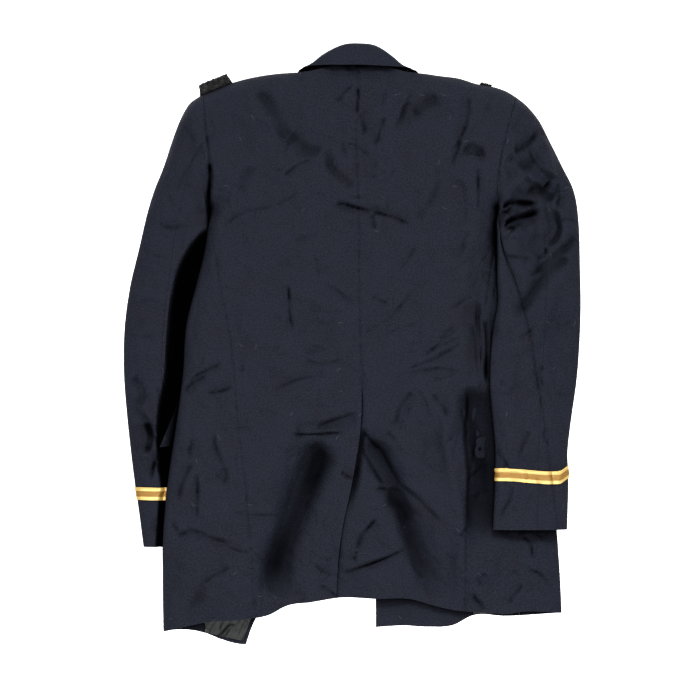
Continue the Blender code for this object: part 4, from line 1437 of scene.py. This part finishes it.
def lint_mask(tree, place):
    """A faint share on scattered specks and short bent hairs, 0 elsewhere."""
    specks = add(tree, "ShaderNodeTexVoronoi", {"Vector": place, "Scale": 62.0})
    chosen = add(tree, "ShaderNodeSeparateColor", {"Color": specks.outputs["Color"]})
    kept = worked(tree, "GREATER_THAN", chosen.outputs["Red"], 0.6)
    speck = worked(tree, "MULTIPLY", span(tree, specks.outputs["Distance"], 0.035, 0.015), kept)
    cells = add(tree, "ShaderNodeTexVoronoi", {"Vector": place, "Scale": 30.0})
    dice = add(tree, "ShaderNodeSeparateColor", {"Color": cells.outputs["Color"]})
    apart = {0: place, 1: cells.outputs["Position"]}
    local = add(tree, "ShaderNodeVectorMath", apart, operation="SUBTRACT").outputs["Vector"]
    turn = {"Vector": local, "Angle": worked(tree, "MULTIPLY", dice.outputs["Red"], FULL_TURN)}
    turned = add(tree, "ShaderNodeVectorRotate", turn, rotation_type="Z_AXIS")
    parts = add(tree, "ShaderNodeSeparateXYZ", {"Vector": turned.outputs["Vector"]})
    square = worked(tree, "POWER", parts.outputs["X"], 2.0)
    bow = worked(tree, "MULTIPLY_ADD", square, -55.0, parts.outputs["Y"])
    thin = span(tree, worked(tree, "ABSOLUTE", bow), 0.00035, 0.0001)
    short = span(tree, worked(tree, "ABSOLUTE", parts.outputs["X"]), 0.0045, 0.0025)
    hair = worked(tree, "MULTIPLY", thin, short)
    hair = worked(tree, "MULTIPLY", hair, worked(tree, "GREATER_THAN", dice.outputs["Green"], 0.9))
    return worked(tree, "MULTIPLY", worked(tree, "MAXIMUM", hair, speck), 0.22)


def gold_lace(name):
    """Gold lace, a band of metal thread with two plain bright borders and a ribbed middle."""
    made, tree, shader = shader_of(name)
    weave = cloth_place(tree)
    down = add(tree, "ShaderNodeSeparateXYZ", {"Vector": weave}).outputs["Y"]
    out = worked(tree, "ABSOLUTE", span(tree, down, high=BRAID_WIDTH * MM, to_low=-1.0))
    middle = span(tree, out, 0.42, 0.34)
    # painted shade: a dark line where each border rises from the ribbed middle
    groove = worked(tree, "ABSOLUTE", worked(tree, "SUBTRACT", out, 0.4))
    groove = span(tree, groove, 0.09, 0.0, to_high=0.55)
    # slanting ribs 2.4 mm apart
    wander = {"Distortion": 0.6, "Detail": 1.0}
    ribs = lines(tree, weave, 185.0, wander, bands_direction="DIAGONAL")
    threads = lines(tree, weave, 300.0, {"Distortion": 0.5})
    rib_share = worked(tree, "MULTIPLY", ribs, middle)
    plain = mixed(tree, middle, linear("#BCA46B"), linear("#9A7A40"))
    ribbed = mixed(tree, rib_share, plain, linear("#73552A"))
    shaded = mixed(tree, groove, ribbed, linear("#5E4520"))
    feed(tree, shader, {"Base Color": shaded, "Roughness": 0.42, "Metallic": 0.35})
    relief(tree, shader, (rib_share, 0.5, 0.0005), (threads, 0.35, 0.0003))
    return made


def satin(name):
    """Grey viscose satin. It gives a soft stretched gloss and small rumples."""
    made, tree, shader = shader_of(name)
    weave = cloth_place(tree)
    cloud = noise(tree, weave, 60.0, 4.0)
    base = mixed(tree, cloud, linear("#171919"), linear("#252928"))
    feed(tree, shader, {"Base Color": base, "Roughness": 0.55, "Specular IOR Level": 0.3})
    relief(tree, shader, (cloud, 0.2, 0.002), (lines(tree, weave, 260.0), 0.1, 0.0002))
    return made


def hook_pile(name):
    """The nylon pile of a hook-and-loop pad, grey-green and matted, with paler tips."""
    made, tree, shader = shader_of(name)
    place = own_place(tree)
    pile = noise(tree, place, 620.0, 4.0)
    tips = span(tree, worked(tree, "MULTIPLY", pile, noise(tree, place, 160.0, 3.0)), 0.17, 0.38)
    base = mixed(tree, tips, linear("#0A0B0D"), linear("#3A3B38"))
    feed(tree, shader, {"Base Color": base, "Roughness": 0.9})
    relief(tree, shader, (pile, 0.9, 0.0015))
    return made


def gilt_brass(name):
    """Gilded brass, stamped and polished. It gives a warm metal gloss with rubbing marks."""
    made, tree, shader = shader_of(name)
    rub = noise(tree, own_place(tree), 900.0, 3.0)
    tone = mixed(tree, rub, linear("#B98A36"), linear("#E0B866"))
    worn = span(tree, rub, to_low=0.2, to_high=0.4)
    feed(tree, shader, {"Base Color": tone, "Roughness": worn, "Metallic": 1.0})
    return made


def painted_floor(name):
    """A plain pale matt floor, lit a little from behind so that no shadow greys it."""
    made, tree, shader = shader_of(name)
    glow = {"Emission Color": (1, 1, 1, 1), "Emission Strength": 0.5}
    feed(tree, shader, {"Base Color": linear("#F6F6F6"), "Roughness": 0.9, **glow})
    return made


# --- pieces -----------------------------------------------------------------------------------


def settle(piece, node):
    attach(piece, "root")
    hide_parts(node)
    return piece


def declare(made, node):
    """Puts a cloth piece in the place of its solid."""
    piece, flat, area = made
    settle(piece, node)


def sleeve_painted_shade(side, part, out, rings):
    """How much painted shade a sleeve gets in its creases; the left one's gap beside the body is
    painted nearly black.
    """
    x, y = part[..., 0], part[..., 1]
    creases = LEFT_CREASES if side == "left" else RIGHT_CREASES
    dark = painted_crease_shade(x, y, creases, 3.5, SLEEVE_SHADE) * (out[..., 2] > 0)
    if side == "right":
        return dark
    # painted shade: the strip pressed under the body is darkened nearly to black, as the gap it lies
    # in
    ridge = along(SLEEVES[side], "ring", "ridge_x", rings)[:, None]
    return np.maximum(dark, STRIP_SHADE * strip_share(x, ridge, rings[:, None]))


def sleeve(side):
    """The top sleeve round the outer edge, the under sleeve round the inner one, the braid."""
    rings = sleeve_rings(side)
    tube = sleeve_points(side, rings)
    out = normals(tube, closed=True)
    around = tube.shape[1]
    over = int(np.argmin(np.abs(crowded(TUBE_ABOVE, 0.75) - TUBE_SEAM)))
    under = around - int(np.argmin(np.abs(crowded(TUBE_BELOW, 0.75) - TUBE_SEAM)))
    under -= (under - over) % 2
    for name, first, last in (("top", under, around + over), ("under", over, under)):
        pick = np.arange(first, last + 1) % around
        part = sleeve_part(tube, first, last)
        cloth = worsted(f"worsted_sleeve_{side}_{name}")
        # painted shade in the sleeve's creases and in the left one's pressed strip
        deep = sleeve_painted_shade(side, part, out[:, pick], rings)
        made = wall(f"sleeve_{side}_{name}_cloth", part, CLOTH, cloth, out[:, pick], hollow=deep)
        declare(made, f"sleeve_{side}_{name}")
    edges = len(SLEEVES[side]["loft"]) - 3
    band = sleeve_points(side, np.linspace(edges, edges + 1, 21))
    out = normals(band, closed=True)
    t = np.linspace(-1, 1, 21)[:, None, None]
    raised = BRAID_RELIEF * (ease(np.abs(t), 0.38, 0.52) * ease(np.abs(t), 1.02, 0.86) - 0.5)
    band = band + out * (CLOTH / 2 + SEAM + BRAID_WALL / 2 + raised)
    made = wall(f"braid_{side}_lace", band, BRAID_WALL, gold_lace("gold_lace_" + side), out, True)
    declare(made, "braid_" + side)


def ruffled(grid, height, seed):
    """A grid with a fine random pile on it."""
    x, y = grid[..., 0], grid[..., 1]
    lifted = grid.copy()
    lifted[..., 2] += height * waves(x, y, seed, 24, 1.6, 7)
    lifted[..., 1] += 0.6 * height * waves(x, y, seed + 1, 24, 1.8, 8)
    return lifted


def facing_up(grid):
    """The grid in the order of its columns that gives its fine side the upper face."""
    return grid if normals(grid)[..., 2].mean() > 0 else grid[:, ::-1]


def wool_piece(name, side, grid, thickness=CLOTH, hollow=None):
    """A panel of navy wool, left or right, in the place of its solid."""
    cloth = worsted(f"worsted_{name}_{side}")
    made = wall(f"{name}_{side}_cloth", grid, thickness, cloth, hollow=hollow)
    declare(made, f"{name}_{side}")


def back(side):
    grid = facing_up(back_grid(side))
    x, y = grid[..., 0], grid[..., 1]
    # painted shade in the back's folds and creases and beside the right sleeve; on the right back
    # also in the wedge under the left back's edge
    deep = body_painted_shade(x, y)
    if side == "right":
        deep = np.maximum(deep, WEDGE_SHADE * wedge_share(x, y))
    wool_piece("back", side, grid, hollow=deep)


def side_panel(side):
    grid = facing_up(side_grid(side))
    # painted shade in the side panel's folds and creases
    deep = body_painted_shade(grid[..., 0], grid[..., 1])
    wool_piece("side", side, grid, hollow=deep)


def front(side):
    """A front, with the fastener pad that is sewn into its shoulder seam."""
    pile = ruffled(strap_grid(side), 0.45, 91)
    pad, _, _ = wall(f"strap_{side}_pad", pile, STRAP_WALL, hook_pile("hook_pile_" + side))
    settle(pad, "strap_" + side)
    wool_piece("front", side, front_grid(side))


def flap(side):
    grid = flap_grid(side)
    # painted shade: the whole flap is darkened evenly
    deep = np.full(grid.shape[:2], FLAP_SHADE)
    wool_piece("flap", side, grid, thickness=FLAP_WALL, hollow=deep)


def lining(side):
    made = wall(f"lining_{side}_satin", lining_grid(side), LINING_WALL, satin("satin_" + side))
    declare(made, "lining_" + side)


def collar():
    made = wall("collar_fall_cloth", fall_grid(), COLLAR_WALL, worsted("worsted_collar_fall"))
    declare(made, "collar_fall")
    made = wall("collar_stand_cloth", stand_grid(), CLOTH, worsted("worsted_collar_stand"))
    declare(made, "collar_stand")


def build_cloth():
    for side in ("left", "right"):
        back(side)
        side_panel(side)
        front(side)
        wool_piece("lapel", side, lapel_grid(side))
        flap(side)
        lining(side)
        sleeve(side)
    collar()


def gild_buttons(frame):
    for i in range(BUTTONS):
        button = frame["nodes"][f"button_{i + 1}"]
        button.data.materials.clear()
        button.data.materials.append(gilt_brass(f"gilt_brass_{i + 1}"))


def build_stage():
    bpy.ops.mesh.primitive_plane_add(size=12, location=(0, 0, -0.0003))
    floor = bpy.context.object
    floor.name = "floor"
    floor.data.materials.append(painted_floor("matt_floor"))
    world = bpy.data.worlds.new("studio")
    world.use_nodes = True
    world.node_tree.nodes["Background"].inputs["Color"].default_value = (1, 1, 1, 1)
    world.node_tree.nodes["Background"].inputs["Strength"].default_value = ROOM_LIGHT
    bpy.context.scene.world = world
    for name, place, size, power in LAMPS:
        lamp = bpy.data.lights.new(name, "AREA")
        lamp.shape, lamp.size, lamp.energy = "DISK", size, power
        holder = bpy.data.objects.new(name, lamp)
        holder.location = place
        holder.rotation_euler = (-Vector(place)).to_track_quat("-Z", "Y").to_euler()
        bpy.context.scene.collection.objects.link(holder)


def build_camera():
    eye = bpy.data.cameras.new("overhead")
    eye.sensor_width = 36
    eye.lens = eye.sensor_width * CAMERA_HEIGHT / FRAME_WIDTH
    eye.clip_end = 50
    holder = bpy.data.objects.new("overhead", eye)
    holder.location = (*CAMERA_CENTRE, CAMERA_HEIGHT)
    bpy.context.scene.collection.objects.link(holder)
    bpy.context.scene.camera = holder


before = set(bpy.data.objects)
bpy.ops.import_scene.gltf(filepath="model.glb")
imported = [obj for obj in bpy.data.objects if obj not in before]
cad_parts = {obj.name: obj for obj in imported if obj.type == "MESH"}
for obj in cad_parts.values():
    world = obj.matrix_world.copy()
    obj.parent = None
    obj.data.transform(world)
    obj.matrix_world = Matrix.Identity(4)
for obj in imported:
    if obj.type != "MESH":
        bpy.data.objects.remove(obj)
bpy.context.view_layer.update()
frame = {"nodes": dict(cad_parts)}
for table in SLEEVES.values():
    table["ring"] = np.arange(len(table["loft"]), dtype=float)
build_cloth()
gild_buttons(frame)
build_stage()
build_camera()
bpy.context.scene.view_settings.view_transform = "Standard"
bpy.context.scene.view_settings.look = "High Contrast"
